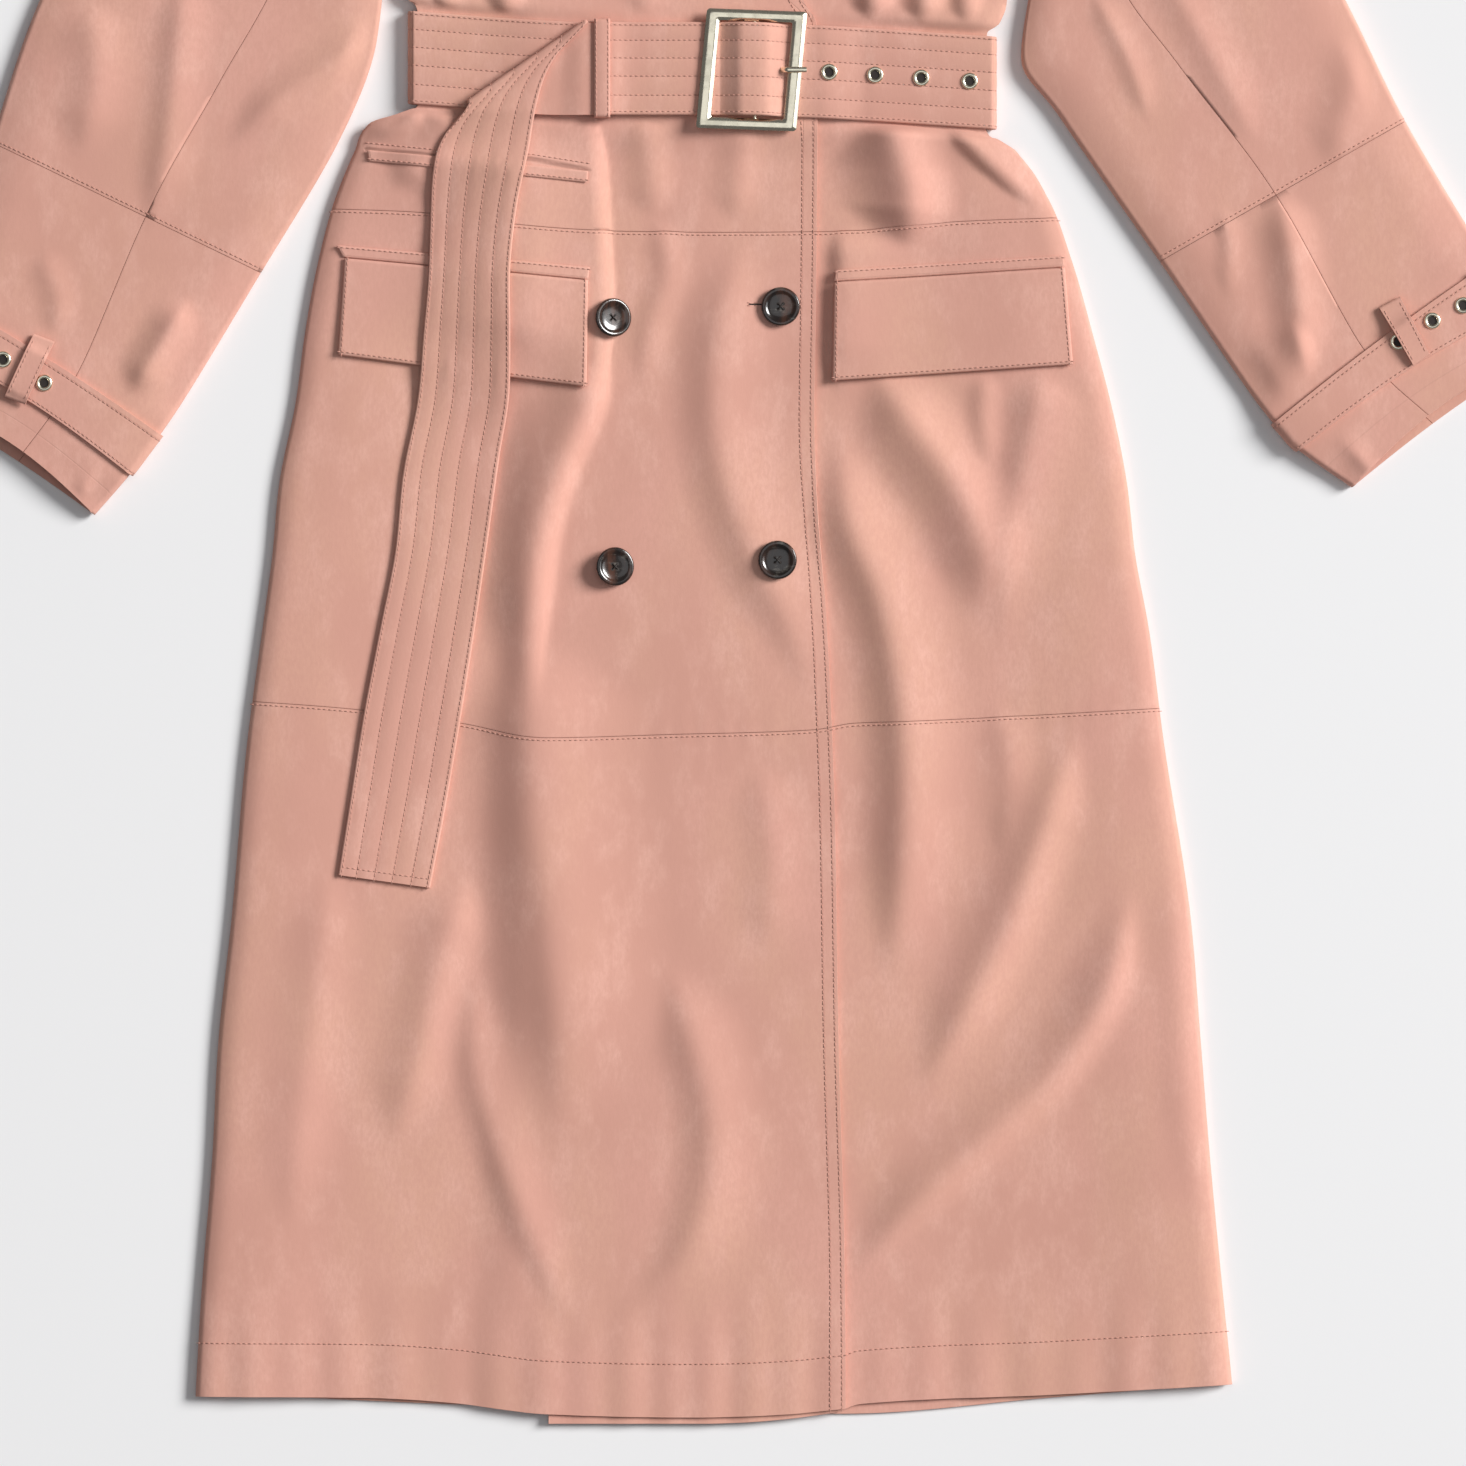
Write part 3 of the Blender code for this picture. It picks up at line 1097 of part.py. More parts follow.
def build_sleeves():
    """Both sleeves with their straps, eyelets, loops and small buckles."""
    for side, stations in (("right", RIGHT_SLEEVE), ("left", LEFT_SLEEVE)):
        sleeve = Sleeve(side, stations)
        strap = sleeve.build()
        names = [f"{side}_sleeve_{edge}_lower" for edge in ("outer", "inner")] + [strap.name]
        spots = STRAP_EYELETS[side]
        eyelets = []
        for number, (x, y) in enumerate(spots, 1):
            ring = [(x + EYELET_OUTER * cos(a), y + EYELET_OUTER * sin(a), 0.0) for a in np.linspace(0, 6, 16)]
            z = rest_height(ring, names, gap=0.05)
            eyelets.append(f"{side}_strap_eyelet_{number}")
            build_eyelet(eyelets[-1], x, y, z)
        level = solids[eyelets[0]][0][:, 2].mean()
        cut_holes(strap, spots, level - 2.6, level + 4)
        loop = next(one for one in LOOPS if one.side == side)
        grid = patch(loop.corners, 8, 3)
        arch = np.sin(np.linspace(0, pi, 8)) * loop.stand
        grid[..., 2] = CLOTH
        laid = lay_on(grid, names + eyelets)
        laid[..., 2] += arch[:, None]
        shell(f"{side}_strap_loop", raised(laid, 1.6), laid, SUEDE_BELT)
        x, y, degrees = STRAP_BUCKLES[side]
        turn = radians(degrees)
        corners = [(x + a * cos(turn) - b * sin(turn), y + a * sin(turn) + b * cos(turn), 0.0)
                   for a in np.linspace(-8, 8, 7) for b in np.linspace(-19, 19, 9)]
        z = rest_height(corners, names)

        def place(a, b, height):
            return x + a * cos(turn) - b * sin(turn), y + a * sin(turn) + b * cos(turn), z + height

        frame_ring(f"{side}_strap_buckle", (8.0, 19.0), (3.0, 3.0), 2.2, place, bevel=0.6)


build_back()
build_fronts()
build_collar()
build_pockets()
build_buttons()
build_belt_strap()
build_keeper()
build_belt_tail()
build_buckle()
for number, eyelet_x in enumerate(EYELETS_X[1:], 1):
    eyelet_z = 11.6 if eyelet_x < 90 else 9.3
    build_eyelet(f"belt_eyelet_{number}", eyelet_x, float(belt_line(eyelet_x)), eyelet_z)
build_sleeves()
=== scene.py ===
"""Looks of a belted, double-breasted trench coat in pink faux suede, laid flat on its back.

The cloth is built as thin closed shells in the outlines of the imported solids, from the same tables. Its
folds follow the photo: they are more and higher than those of the solids, and the sleeves are fuller.
Creases, seams, topstitching and fittings are added.
Lengths are millimetres measured from the middle of the belt until a mesh is made; place() turns them
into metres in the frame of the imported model. Left and right in the names are the wearer's.
"""

import json
import logging
from dataclasses import dataclass, field
from enum import Enum
from math import cos, hypot, pi, radians, sin
from typing import Callable, NamedTuple, Sequence

import bmesh
import bpy
import numpy as np
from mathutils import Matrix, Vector
from mathutils.bvhtree import BVHTree

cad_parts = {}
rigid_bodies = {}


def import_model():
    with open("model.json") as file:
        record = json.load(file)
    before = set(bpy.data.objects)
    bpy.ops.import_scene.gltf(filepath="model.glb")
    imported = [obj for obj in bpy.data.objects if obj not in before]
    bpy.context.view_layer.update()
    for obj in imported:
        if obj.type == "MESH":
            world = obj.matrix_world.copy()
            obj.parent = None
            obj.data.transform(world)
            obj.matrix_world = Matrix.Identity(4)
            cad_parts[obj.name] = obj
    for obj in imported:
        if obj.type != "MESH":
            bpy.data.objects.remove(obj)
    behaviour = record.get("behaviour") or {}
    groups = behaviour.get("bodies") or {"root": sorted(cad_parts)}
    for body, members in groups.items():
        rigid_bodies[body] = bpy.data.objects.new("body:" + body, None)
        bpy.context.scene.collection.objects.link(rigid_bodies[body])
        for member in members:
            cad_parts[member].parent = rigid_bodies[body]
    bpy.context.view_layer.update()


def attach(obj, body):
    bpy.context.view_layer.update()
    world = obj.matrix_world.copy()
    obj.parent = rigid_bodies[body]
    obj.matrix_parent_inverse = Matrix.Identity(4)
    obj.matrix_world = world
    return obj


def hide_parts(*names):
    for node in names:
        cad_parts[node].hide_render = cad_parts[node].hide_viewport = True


log = logging.getLogger("trench_coat")

Array = np.ndarray
Curve = Callable[[Array], Array]
Colour = tuple[float, float, float]
Object = bpy.types.Object
Material = bpy.types.Material
Socket = bpy.types.NodeSocket

WAIST = (-14.0, 211.0)     # where the middle of the belt lies in the frame
CLOTH = 2.0                # wall of a panel
GAP = 0.3                  # air between pieces that lie on each other
SEAM = 0.03                # each panel stops this far from its seam line
STACK = CLOTH + GAP
BODY = "root"
DRESSED = "_dressed"        # ending of a visual piece's name


# ---------------------------------------------------------------- outline tables
class Side(NamedTuple):
    """Place of an outline at one height."""

    y: float
    x: float


class Run(NamedTuple):
    """Height of a seam, hem or belt line at one place across the coat."""

    x: float
    y: float


class Roll(NamedTuple):
    """Where each front's edge or roll line is at one height of the bodice."""

    y: float
    right: float
    left: float


LEFT_SIDE = [
    Side(51, -187), Side(45, -184), Side(39.5, -175.5), Side(-23.5, -175.5), Side(-29, -196),
    Side(-35, -206), Side(-43, -210), Side(-56, -216), Side(-81, -226), Side(-118, -236),
    Side(-167, -245), Side(-205, -250), Side(-254, -260), Side(-304, -265), Side(-341, -270),
    Side(-415, -280), Side(-527, -290), Side(-601, -298), Side(-676, -302), Side(-750, -308),
    Side(-840, -313),
]
RIGHT_SIDE = [
    Side(43, 193), Side(34, 188), Side(27, 184), Side(22.5, 178), Side(-40.5, 178),
    Side(-47, 191), Side(-56, 200), Side(-81, 216), Side(-118, 230), Side(-167, 244),
    Side(-205, 254), Side(-254, 264), Side(-304, 270), Side(-341, 277), Side(-415, 287),
    Side(-527, 304), Side(-601, 310), Side(-676, 316), Side(-750, 323), Side(-840, 332),
]
RIGHT_EDGE = [
    Side(33, 72), Side(-31, 73), Side(-143, 72), Side(-216, 71), Side(-304, 76),
    Side(-387, 81), Side(-437, 83), Side(-600, 86), Side(-763, 90), Side(-840, 90),
]
LEFT_EDGE = [Side(33, -81), Side(-200, -82), Side(-500, -88), Side(-840, -94)]
BELT_LINE = [Run(-190, 8), Run(-57, 0), Run(0, 0), Run(65, -1.5), Run(190, -9)]
HIP_SEAM = [
    Run(-250, -86), Run(-169, -89), Run(-109, -97), Run(-61, -100), Run(14, -101),
    Run(98, -100), Run(120, -97), Run(250, -91),
]
KNEE_SEAM = [
    Run(-300, -390), Run(-208, -397), Run(-148, -405), Run(-95, -414), Run(-20, -412),
    Run(71, -409), Run(95, -405), Run(124, -404), Run(300, -395),
]
RIGHT_HEM = [
    Run(-320, -822), Run(-205, -823), Run(-155, -826), Run(-94, -833), Run(-6, -835),
    Run(55, -833), Run(95, -829),
]
LEFT_HEM = [Run(-100, -839), Run(0, -839), Run(84, -832), Run(98, -827), Run(219, -821), Run(340, -814)]
BACK_HEM = [Run(-320, -820), Run(0, -832), Run(90, -833), Run(217, -823), Run(340, -813)]
ROLL_LINES = [
    Roll(43, 63, -73), Roll(75, 50, -57), Roll(115, 34, -39), Roll(160, 17, -20),
    Roll(212, -3, 3), Roll(265, -24, 27), Roll(315, -43, 49), Roll(372, -65, 71),
]
NECK_DIP = 20.0


class Station(NamedTuple):
    """One row of a flat sleeve: its outer and inner edge, front seam and bows."""

    outer_x: float
    outer_y: float
    inner_x: float
    inner_y: float
    front_seam: float
    front_bow: float
    back_bow: float


ELBOW, STRAP_TOP, STRAP_END, CUFF = 5, 6, 7, 8
RIGHT_SLEEVE = [
    Station(-211, 335, -196, 115, 0.62, 31, 31),
    Station(-262, 276, -199, 92, 0.62, 12, 12),
    Station(-312, 210, -196, 62, 0.62, 0, 0),
    Station(-363, 130, -200, 19, 0.63, 0, 0),
    Station(-409, 43, -223, -43, 0.60, 0, 0),
    Station(-439, -45, -272, -126, 0.575, 0, 0),
    Station(-467, -141, -334, -226, 0.60, 2, 0),
    Station(-481, -170, -353, -251, 0.60, 5, 2),
    Station(-497, -199, -375, -276, 0.60, 10, 3),
]
LEFT_SLEEVE = [
    Station(217, 335, 202, 115, 0.62, 31, 31),
    Station(262, 276, 207, 92, 0.62, 12, 12),
    Station(306, 210, 206, 62, 0.62, 0, 0),
    Station(353, 130, 199, 9, 0.61, 0, 0),
    Station(400, 43, 224, -31, 0.58, 0, 0),
    Station(437, -32, 285, -119, 0.53, 0, 0),
    Station(489, -119, 355, -219, 0.57, 2, 0),
    Station(508, -147, 371, -236, 0.57, 5, 2),
    Station(525, -172, 404, -259, 0.57, 9, 3),
]
SLEEVES = {"right": RIGHT_SLEEVE, "left": LEFT_SLEEVE}


# ---------------------------------------------------------------- folds
class Fold(NamedTuple):
    """Ridge along a smooth line, with its height and its reach on the -X and the +X side."""

    line: tuple[tuple[float, float], ...]
    height: float
    west: float
    east: float


FOLDS = [
    Fold(((-124, -30), (-120, -112), (-117, -205)), 7.0, 84, 62),
    Fold(((-68, -21), (-64, -81), (-61, -155), (-67, -200)), 5.6, 140, 9),
    Fold(((-60, -161), (-69, -205), (-87, -248), (-99, -291), (-104, -341), (-104, -403)), 8.4, 44, 15),
    Fold(((-105, -347), (-103, -403), (-99, -471), (-91, -533), (-86, -595), (-85, -676)), 8.0, 50, 76),
    Fold(((112, -24), (124, -56), (130, -81), (126, -112)), 11.0, 47, 32),
    Fold(((88, -96), (89, -143), (87, -205)), 4.5, 14, 60),
    Fold(((153, -32), (177, -56), (217, -89)), 4.0, 9, 24),
    Fold(((104, -183), (133, -223), (159, -260), (174, -298), (174, -347)), 7.6, 42, 34),
    Fold(((86, -217), (93, -279), (113, -329), (125, -391), (128, -453), (124, -515), (117, -570)), 7.4, 33, 44),
    Fold(((30, -99), (15, -149), (9, -198), (15, -248), (33, -298), (54, -341), (73, -394)), 4.6, 31, 44),
    Fold(((-28, -90), (-20, -124), (-31, -161), (-37, -202)), 1.8, 16, 18),
    Fold(((212, -184), (206, -223), (193, -285), (186, -360)), 3.4, 24, 34),
    Fold(((177, -187), (175, -217), (181, -248)), 2.0, 14, 16),
    Fold(((-37, -30), (-31, -59), (-29, -93)), 2.4, 24, 20),
    Fold(((28, -30), (24, -62), (22, -96)), 2.0, 22, 20),
    Fold(((-148, -28), (-166, -50), (-192, -72)), 3.6, 26, 26),
    Fold(((-172, -26), (-186, -36), (-206, -42)), 2.4, 9, 10),
    Fold(((-138, -552), (-139, -614), (-124, -670), (-104, -722), (-79, -784)), 2.6, 20, 28),
    Fold(((-20, -552), (-4, -601), (7, -648), (5, -694), (-12, -739), (-55, -778)), 3.9, 28, 38),
    Fold(((-143, -496), (-161, -552), (-175, -614), (-192, -670)), 3.8, 34, 28),
    Fold(((234, -409), (212, -471), (192, -527), (164, -583), (136, -636)), 6.0, 34, 28),
    Fold(((267, -502), (253, -567), (221, -620), (174, -665), (127, -709), (93, -750)), 6.2, 36, 20),
    Fold(((304, -477), (308, -577), (308, -707)), 2.6, 30, 16),
    Fold(((37, -428), (45, -490), (40, -552)), 1.8, 26, 30),
    Fold(((-229, -490), (-237, -564), (-248, -651), (-254, -725)), 2.2, 30, 30),
    Fold(((186, -391), (192, -440), (186, -490)), 1.6, 20, 22),
    Fold(((-122, 33), (-118, 62), (-112, 100)), 6.0, 17, 18),
    Fold(((104, 30), (112, 62), (116, 104)), 7.0, 16, 20),
    Fold(((137, 28), (141, 61), (140, 104)), 6.0, 16, 18),
    Fold(((166, 27), (164, 60), (158, 104)), 5.0, 14, 14),
    Fold(((-37, 32), (-31, 62), (-28, 99)), 2.0, 20, 20),
    Fold(((-161, 36), (-154, 56), (-143, 87)), 3.0, 14, 14),
]
SLEEVE_FOLDS = [
    Fold(((-377, 43), (-374, -6), (-384, -56)), 3.0, 30, 28),
    Fold(((-317, 68), (-324, 6), (-330, -50), (-341, -102)), 3.0, 20, 26),
    Fold(((-185, 30), (-220, 7), (-257, -17), (-294, -50)), 4.0, 22, 24),
    Fold(((-187, 99), (-191, 68), (-198, 41)), 4.0, 60, 8),
    Fold(((-317, -143), (-335, -174), (-355, -206)), 5.0, 21, 20),
    Fold(((-409, -112), (-397, -143), (-402, -167)), 1.6, 16, 16),
    Fold(((-352, -243), (-382, -224), (-415, -203)), 2.6, 16, 5),
    Fold(((-365, -236), (-377, -253), (-383, -267)), 1.4, 12, 12),
    Fold(((-272, 149), (-282, 105), (-291, 62)), 3.0, 24, 26),
    Fold(((279, 74), (304, 31), (324, -6), (345, -50)), 2.4, 22, 24),
    Fold(((357, -74), (366, -115), (371, -155), (376, -195)), 5.0, 24, 24),
    Fold(((366, -155), (374, -191), (379, -220)), 4.6, 48, 14),
    Fold(((324, -88), (327, -112), (325, -143)), 1.6, 10, 14),
    Fold(((413, 31), (402, -19), (388, -65)), 2.6, 26, 26),
    Fold(((242, 50), (265, 6), (279, -34)), 1.8, 14, 16),
    Fold(((391, -220), (404, -237), (419, -257)), 1.8, 16, 14),
    Fold(((267, 149), (276, 105), (285, 62)), 3.0, 24, 26),
]
FADE_IN, FADE_OUT = 0.22, 0.30     # shares of a fold's length over which its ends rise
CREST = 0.22                       # roundness of a fold's crest, as a share of its reach
FOLD_STEPS = 24                    # points along a fold's line


# ---------------------------------------------------------------- small tools
def ease(share: Array) -> Array:
    """Smooth step from 0 to 1."""
    share = np.clip(share, 0.0, 1.0)
    return share * share * (3 - 2 * share)


def smooth_table(keys: Sequence[float], values: Sequence[float]) -> Curve:
    """A smooth function through the rows of a table.

    Args:
        keys: where each row is; rows may come in any order.
        values: the table's value there.

    Returns:
        A function that stays at the end values outside the table.
    """
    order = np.argsort(keys)
    keys = np.asarray(keys, float)[order]
    values = np.asarray(values, float)[order]
    steps = np.diff(values) / np.diff(keys)
    slopes = np.gradient(values, keys)
    limit = 2 * np.minimum(np.abs(steps[:-1]), np.abs(steps[1:]))
    slopes[1:-1] = np.where(steps[:-1] * steps[1:] <= 0, 0.0, np.clip(slopes[1:-1], -limit, limit))

    def at(where: Array) -> Array:
        """The function's value at each place."""
        where = np.clip(where, keys[0], keys[-1])
        i = np.clip(np.searchsorted(keys, where, side="right") - 1, 0, len(keys) - 2)
        step = keys[i + 1] - keys[i]
        u = (where - keys[i]) / step
        return (values[i] * (1 + 2 * u) * (1 - u) ** 2 + values[i + 1] * u * u * (3 - 2 * u)
                + step * (slopes[i] * u * (1 - u) ** 2 + slopes[i + 1] * u * u * (u - 1)))

    return at


def of_rows(rows: Sequence[NamedTuple], key: str, value: str) -> Curve:
    """Smooth function of one column of a table against another."""
    return smooth_table([getattr(r, key) for r in rows], [getattr(r, value) for r in rows])


def refine(values: Array, count: int) -> Array:
    """Rows of an array made denser along its first axis, on smooth curves through them.

    Args:
        values: the rows.
        count: how many rows to make of them.

    Returns:
        The denser array.
    """
    values = np.asarray(values, float)
    t = np.linspace(0, len(values) - 1, count)
    i = np.clip(t.astype(int), 0, len(values) - 2)
    u = (t - i).reshape((-1,) + (1,) * (values.ndim - 1))
    tangent = np.gradient(values, axis=0)
    return (values[i] * (1 + 2 * u) * (1 - u) ** 2 + values[i + 1] * u * u * (3 - 2 * u)
            + tangent[i] * u * (1 - u) ** 2 + tangent[i + 1] * u * u * (u - 1))


def fold_height(folds: Sequence[Fold], x: Array, y: Array) -> Array:
    """Height that folds add to the cloth.

    Args:
        folds: rows of a table of folds.
        x: places across the coat.
        y: places along it.

    Returns:
        The height in mm at each place.
    """
    total = np.zeros(x.shape)
    t = np.linspace(0, 1, FOLD_STEPS)
    for fold in folds:
        cx, cy = refine(np.array(fold.line, float), len(t)).T
        wide = max(fold.west, fold.east)
        near = (np.abs(x - (cx.max() + cx.min()) / 2) < np.ptp(cx) / 2 + wide) & (
            np.abs(y - (cy.max() + cy.min()) / 2) < np.ptp(cy) / 2 + wide)
        if not near.any():
            continue
        px, py = x[near], y[near]
        best = np.full(px.shape, np.inf)
        spot, side = np.zeros(px.shape), np.zeros(px.shape)
        for i in range(len(t) - 1):
            dx, dy = cx[i + 1] - cx[i], cy[i + 1] - cy[i]
            along = np.clip(((px - cx[i]) * dx + (py - cy[i]) * dy) / (dx * dx + dy * dy), 0, 1)
            off_x, off_y = px - cx[i] - along * dx, py - cy[i] - along * dy
            distance = np.hypot(off_x, off_y)
            nearer = distance < best
            best = np.where(nearer, distance, best)
            spot = np.where(nearer, t[i] + along * (t[i + 1] - t[i]), spot)
            side = np.where(nearer, dx * off_y - dy * off_x, side)
        fade = ease(spot / FADE_IN) * ease((1 - spot) / FADE_OUT)
        reach = np.where(side > 0, fold.east, fold.west) * (0.45 + 0.55 * fade)   # narrower at its ends
        share = np.clip(best / reach, 0, 1)
        share = (np.sqrt(share ** 2 + CREST ** 2) - CREST) / (np.sqrt(1 + CREST ** 2) - CREST)
        total[near] += fold.height * (1 - share) ** 2 * fade
    return total


def place(points: Array) -> Array:
    """Points from mm, measured from the belt's middle, to metres in the frame."""
    return (np.array(points, float) + (*WAIST, 0.0)) * 0.001


def settle(floor: Array, rounds: int, start: Array | None = None) -> Array:
    """Let a stiff sheet bridge the hollows of what it lies on.

    Args:
        floor: the lowest height allowed at each point.
        rounds: how often the heights are evened out.
        start: the sheet's first heights, or None where it starts on the floor.

    Returns:
        Even heights that nowhere go below the floor.
    """
    height = floor if start is None else start
    for _ in range(rounds):
        wide = np.pad(height, 1, mode="edge")
        mean = (wide[:-2, 1:-1] + wide[2:, 1:-1] + wide[1:-1, :-2] + wide[1:-1, 2:]) / 4
        height = np.maximum(floor, mean)
    return height


def stack(x: Array, y: Array, z: Array) -> Array:
    """Points from their coordinates, which may be of different shapes."""
    return np.stack(np.broadcast_arrays(x, y, z), axis=-1)


def patch(corners: Sequence[tuple[float, float]], rows: int, cols: int) -> tuple[Array, Array, Array]:
    """Grid between four corners.

    Args:
        corners: x and y of the top left, top right, bottom right and bottom left.
        rows: points from top to bottom.
        cols: points from left to right.

    Returns:
        The points' x and y, and the share of the way down and across, as a column and a row.
    """
    top_left, top_right, bottom_right, bottom_left = np.array(corners, float)
    v = np.linspace(0, 1, rows)[:, None, None]
    u = np.linspace(0, 1, cols)[None, :, None]
    grid = (1 - v) * ((1 - u) * top_left + u * top_right) + v * ((1 - u) * bottom_left + u * bottom_right)
    return grid, v[..., 0], u[..., 0]


def row_at(grid: Array, v: Array | float) -> Array:
    """Line through a grid, from its first column to its last.

    Args:
        grid: points, rows by columns.
        v: share of the rows at which the line runs, one or one for each column.

    Returns:
        The line's points.
    """
    r = np.clip(np.asarray(v, float) * (len(grid) - 1), 0, len(grid) - 1 - 1e-6)
    r = np.broadcast_to(r, grid.shape[1])
    i = r.astype(int)
    u = (r - i)[:, None]
    columns = np.arange(grid.shape[1])
    return grid[i, columns] * (1 - u) + grid[i + 1, columns] * u


def column_at(grid: Array, u: Array | float) -> Array:
    """Line through a grid at a share of its columns, from its first row to its last."""
    return row_at(np.swapaxes(grid, 0, 1), u)


def arc(centre_x: float, centre_y: float, radius: float, angles: Sequence[float]) -> list[tuple[float, float]]:
    """Points on a circle at these angles in degrees."""
    return [(centre_x + radius * cos(radians(a)), centre_y + radius * sin(radians(a))) for a in angles]


def linked(name: str, data: bpy.types.ID) -> Object:
    """New object of a mesh, curve, light or camera.

    Args:
        name: name of the object.
        data: what it shows.

    Returns:
        The object, linked to the scene.
    """
    made = bpy.data.objects.new(name, data)
    bpy.context.scene.collection.objects.link(made)
    return made


# ---------------------------------------------------------------- finishes
class Nodes:
    """Short way to add shader nodes to a material."""

    def __init__(self, name: str) -> None:
        """Start a material with only its Principled shader."""
        self.material = bpy.data.materials.new(name)
        self.material.use_nodes = True
        self.tree = self.material.node_tree
        self.shader = self.tree.nodes["Principled BSDF"]

    def add(self, kind: str, **settings: object) -> bpy.types.Node:
        """Add a node.

        Args:
            kind: its type.
            settings: its properties.

        Returns:
            The node.
        """
        node = self.tree.nodes.new(kind)
        for key, value in settings.items():
            setattr(node, key, value)
        return node

    def set(self, target: Socket, value: object) -> None:
        """Link an input to another node's output, or set it to a number or a colour.

        Args:
            target: the input.
            value: the output, number or colour.
        """
        if isinstance(value, Socket):
            self.tree.links.new(value, target)
        else:
            target.default_value = (*value, 1.0) if target.type == "RGBA" else value

    def feed(self, node: bpy.types.Node, **inputs: object) -> None:
        """Set a node's inputs by their names, with _ for each space."""
        for key, value in inputs.items():
            self.set(node.inputs[key.replace("_", " ")], value)

    def dress(self, **inputs: object) -> Material:
        """Feed the shader and return the material."""
        self.feed(self.shader, **inputs)
        return self.material

    def math(self, operation: str, *values: object) -> Socket:
        """Calculate with sockets or numbers.

        Args:
            operation: what the Math node does.
            values: its inputs in order.

        Returns:
            The result.
        """
        node = self.add("ShaderNodeMath", operation=operation)
        for target, value in zip(node.inputs, values):
            self.set(target, value)
        return node.outputs[0]

    def noise(self, scale: float, detail: float, stretch: tuple[float, float, float] = (1, 1, 1),
              roughness: float = 0.5) -> Socket:
        """Noise on object coordinates.

        Args:
            scale: how fine it is.
            detail: how many finer layers it has.
            stretch: scale along each axis.
            roughness: strength of the finer layers.

        Returns:
            Values from 0 to 1.
        """
        coordinates, mapping = self.add("ShaderNodeTexCoord"), self.add("ShaderNodeMapping")
        noise = self.add("ShaderNodeTexNoise")
        self.feed(mapping, Scale=stretch, Vector=coordinates.outputs["Object"])
        self.feed(noise, Scale=scale, Detail=detail, Roughness=roughness, Vector=mapping.outputs["Vector"])
        return noise.outputs["Fac"]

    def ramp(self, value: Socket, low: float, high: float, out_low: float,
             out_high: float) -> Socket:
        """Move values from one range to another, smoothly at both ends.

        Args:
            value: the values.
            low: start of their range.
            high: end of their range.
            out_low: result at the start.
            out_high: result at the end.

        Returns:
            The results.
        """
        node = self.add("ShaderNodeMapRange", interpolation_type="SMOOTHSTEP")
        self.feed(node, Value=value, From_Min=low, From_Max=high, To_Min=out_low, To_Max=out_high)
        return node.outputs["Result"]

    def mix(self, share: Socket, first: object, second: object) -> Socket:
        """Mix two colours.

        Args:
            share: how much of the second colour.
            first: a colour or a socket.
            second: a colour or a socket.

        Returns:
            The mixed colour.
        """
        node = self.add("ShaderNodeMix", data_type="RGBA")
        for slot, value in ((0, share), (6, first), (7, second)):      # 6 and 7 are its colour inputs
            self.set(node.inputs[slot], value)
        return node.outputs[2]


class Groove(NamedTuple):
    """Sunken stitched line at a distance, in mm, of one of a piece's attributes, with painted shade along it."""

    attribute: str
    offset: float
    width: float
    # how much painted shade darkens the line
    dark: float


def darker(colour: Colour, share: float) -> Colour:
    """This share of a colour's light."""
    return tuple(share * c for c in colour)


@dataclass(frozen=True)
class SuedeFinish:
    """Soft brushed faux suede with its mottling and nap, and painted shade along its sunken stitched lines."""

    name: str
    base: Colour = (0.718, 0.379, 0.307)
    shade: Colour = (0.640, 0.333, 0.264)
    light: Colour = (0.780, 0.445, 0.362)
    tan: Colour = (0.715, 0.405, 0.300)
    grooves: tuple[Groove, ...] = ()

    def build(self) -> Material:
        """Make the material."""
        nodes = Nodes(self.name)
        cloud = nodes.noise(7.0, 3.0, roughness=0.55)
        warmth = nodes.noise(13.0, 2.0, (1.0, 0.5, 1.0))
        mottle = nodes.noise(46.0, 5.0, (1.0, 0.5, 1.0), 0.65)
        nap = nodes.noise(520.0, 5.0, (1.0, 0.4, 1.0), 0.7)
        grain = nodes.noise(2600.0, 2.0)
        colour = nodes.mix(nodes.ramp(cloud, 0.34, 0.68, 0.0, 1.0), self.shade, self.base)
        colour = nodes.mix(nodes.ramp(warmth, 0.40, 0.66, 0.0, 0.6), colour, self.tan)
        colour = nodes.mix(nodes.ramp(mottle, 0.44, 0.72, 0.0, 0.7), colour, self.light)
        colour = nodes.mix(nodes.ramp(nap, 0.34, 0.66, 0.55, 0.0), colour, self.shade)
        height = nodes.math("MULTIPLY_ADD", nap, 0.5, nodes.math("MULTIPLY", grain, 0.25))
        if self.grooves:
            total = self._mask(nodes, self.grooves[0])
            for groove in self.grooves[1:]:
                total = nodes.math("MAXIMUM", total, self._mask(nodes, groove))
            # painted shade along the sunken stitched lines
            colour = nodes.mix(total, colour, darker(self.shade, 0.70))
            height = nodes.math("MULTIPLY_ADD", total, -2.0, height)
        bump = nodes.add("ShaderNodeBump")
        nodes.feed(bump, Strength=0.35, Distance=0.0004, Height=height)
        return nodes.dress(Normal=bump.outputs["Normal"], Base_Color=colour, Roughness=0.86,
                           Specular_IOR_Level=0.25, Sheen_Weight=0.10, Sheen_Roughness=0.45,
                           Sheen_Tint=(1.0, 0.86, 0.80))

    @staticmethod
    def _mask(nodes: Nodes, groove: Groove) -> Socket:
        """Painted shade along one sunken stitched line.

        Args:
            nodes: the material's nodes.
            groove: the line.

        Returns:
            Strength of the painted shade, from 0 beside the line to its darkness on it.
        """
        attribute = nodes.add("ShaderNodeAttribute", attribute_name=groove.attribute)
        away = nodes.math("ABSOLUTE", nodes.math("SUBTRACT", attribute.outputs["Fac"], groove.offset))
        return nodes.ramp(away, 0.0, groove.width, groove.dark, 0.0)


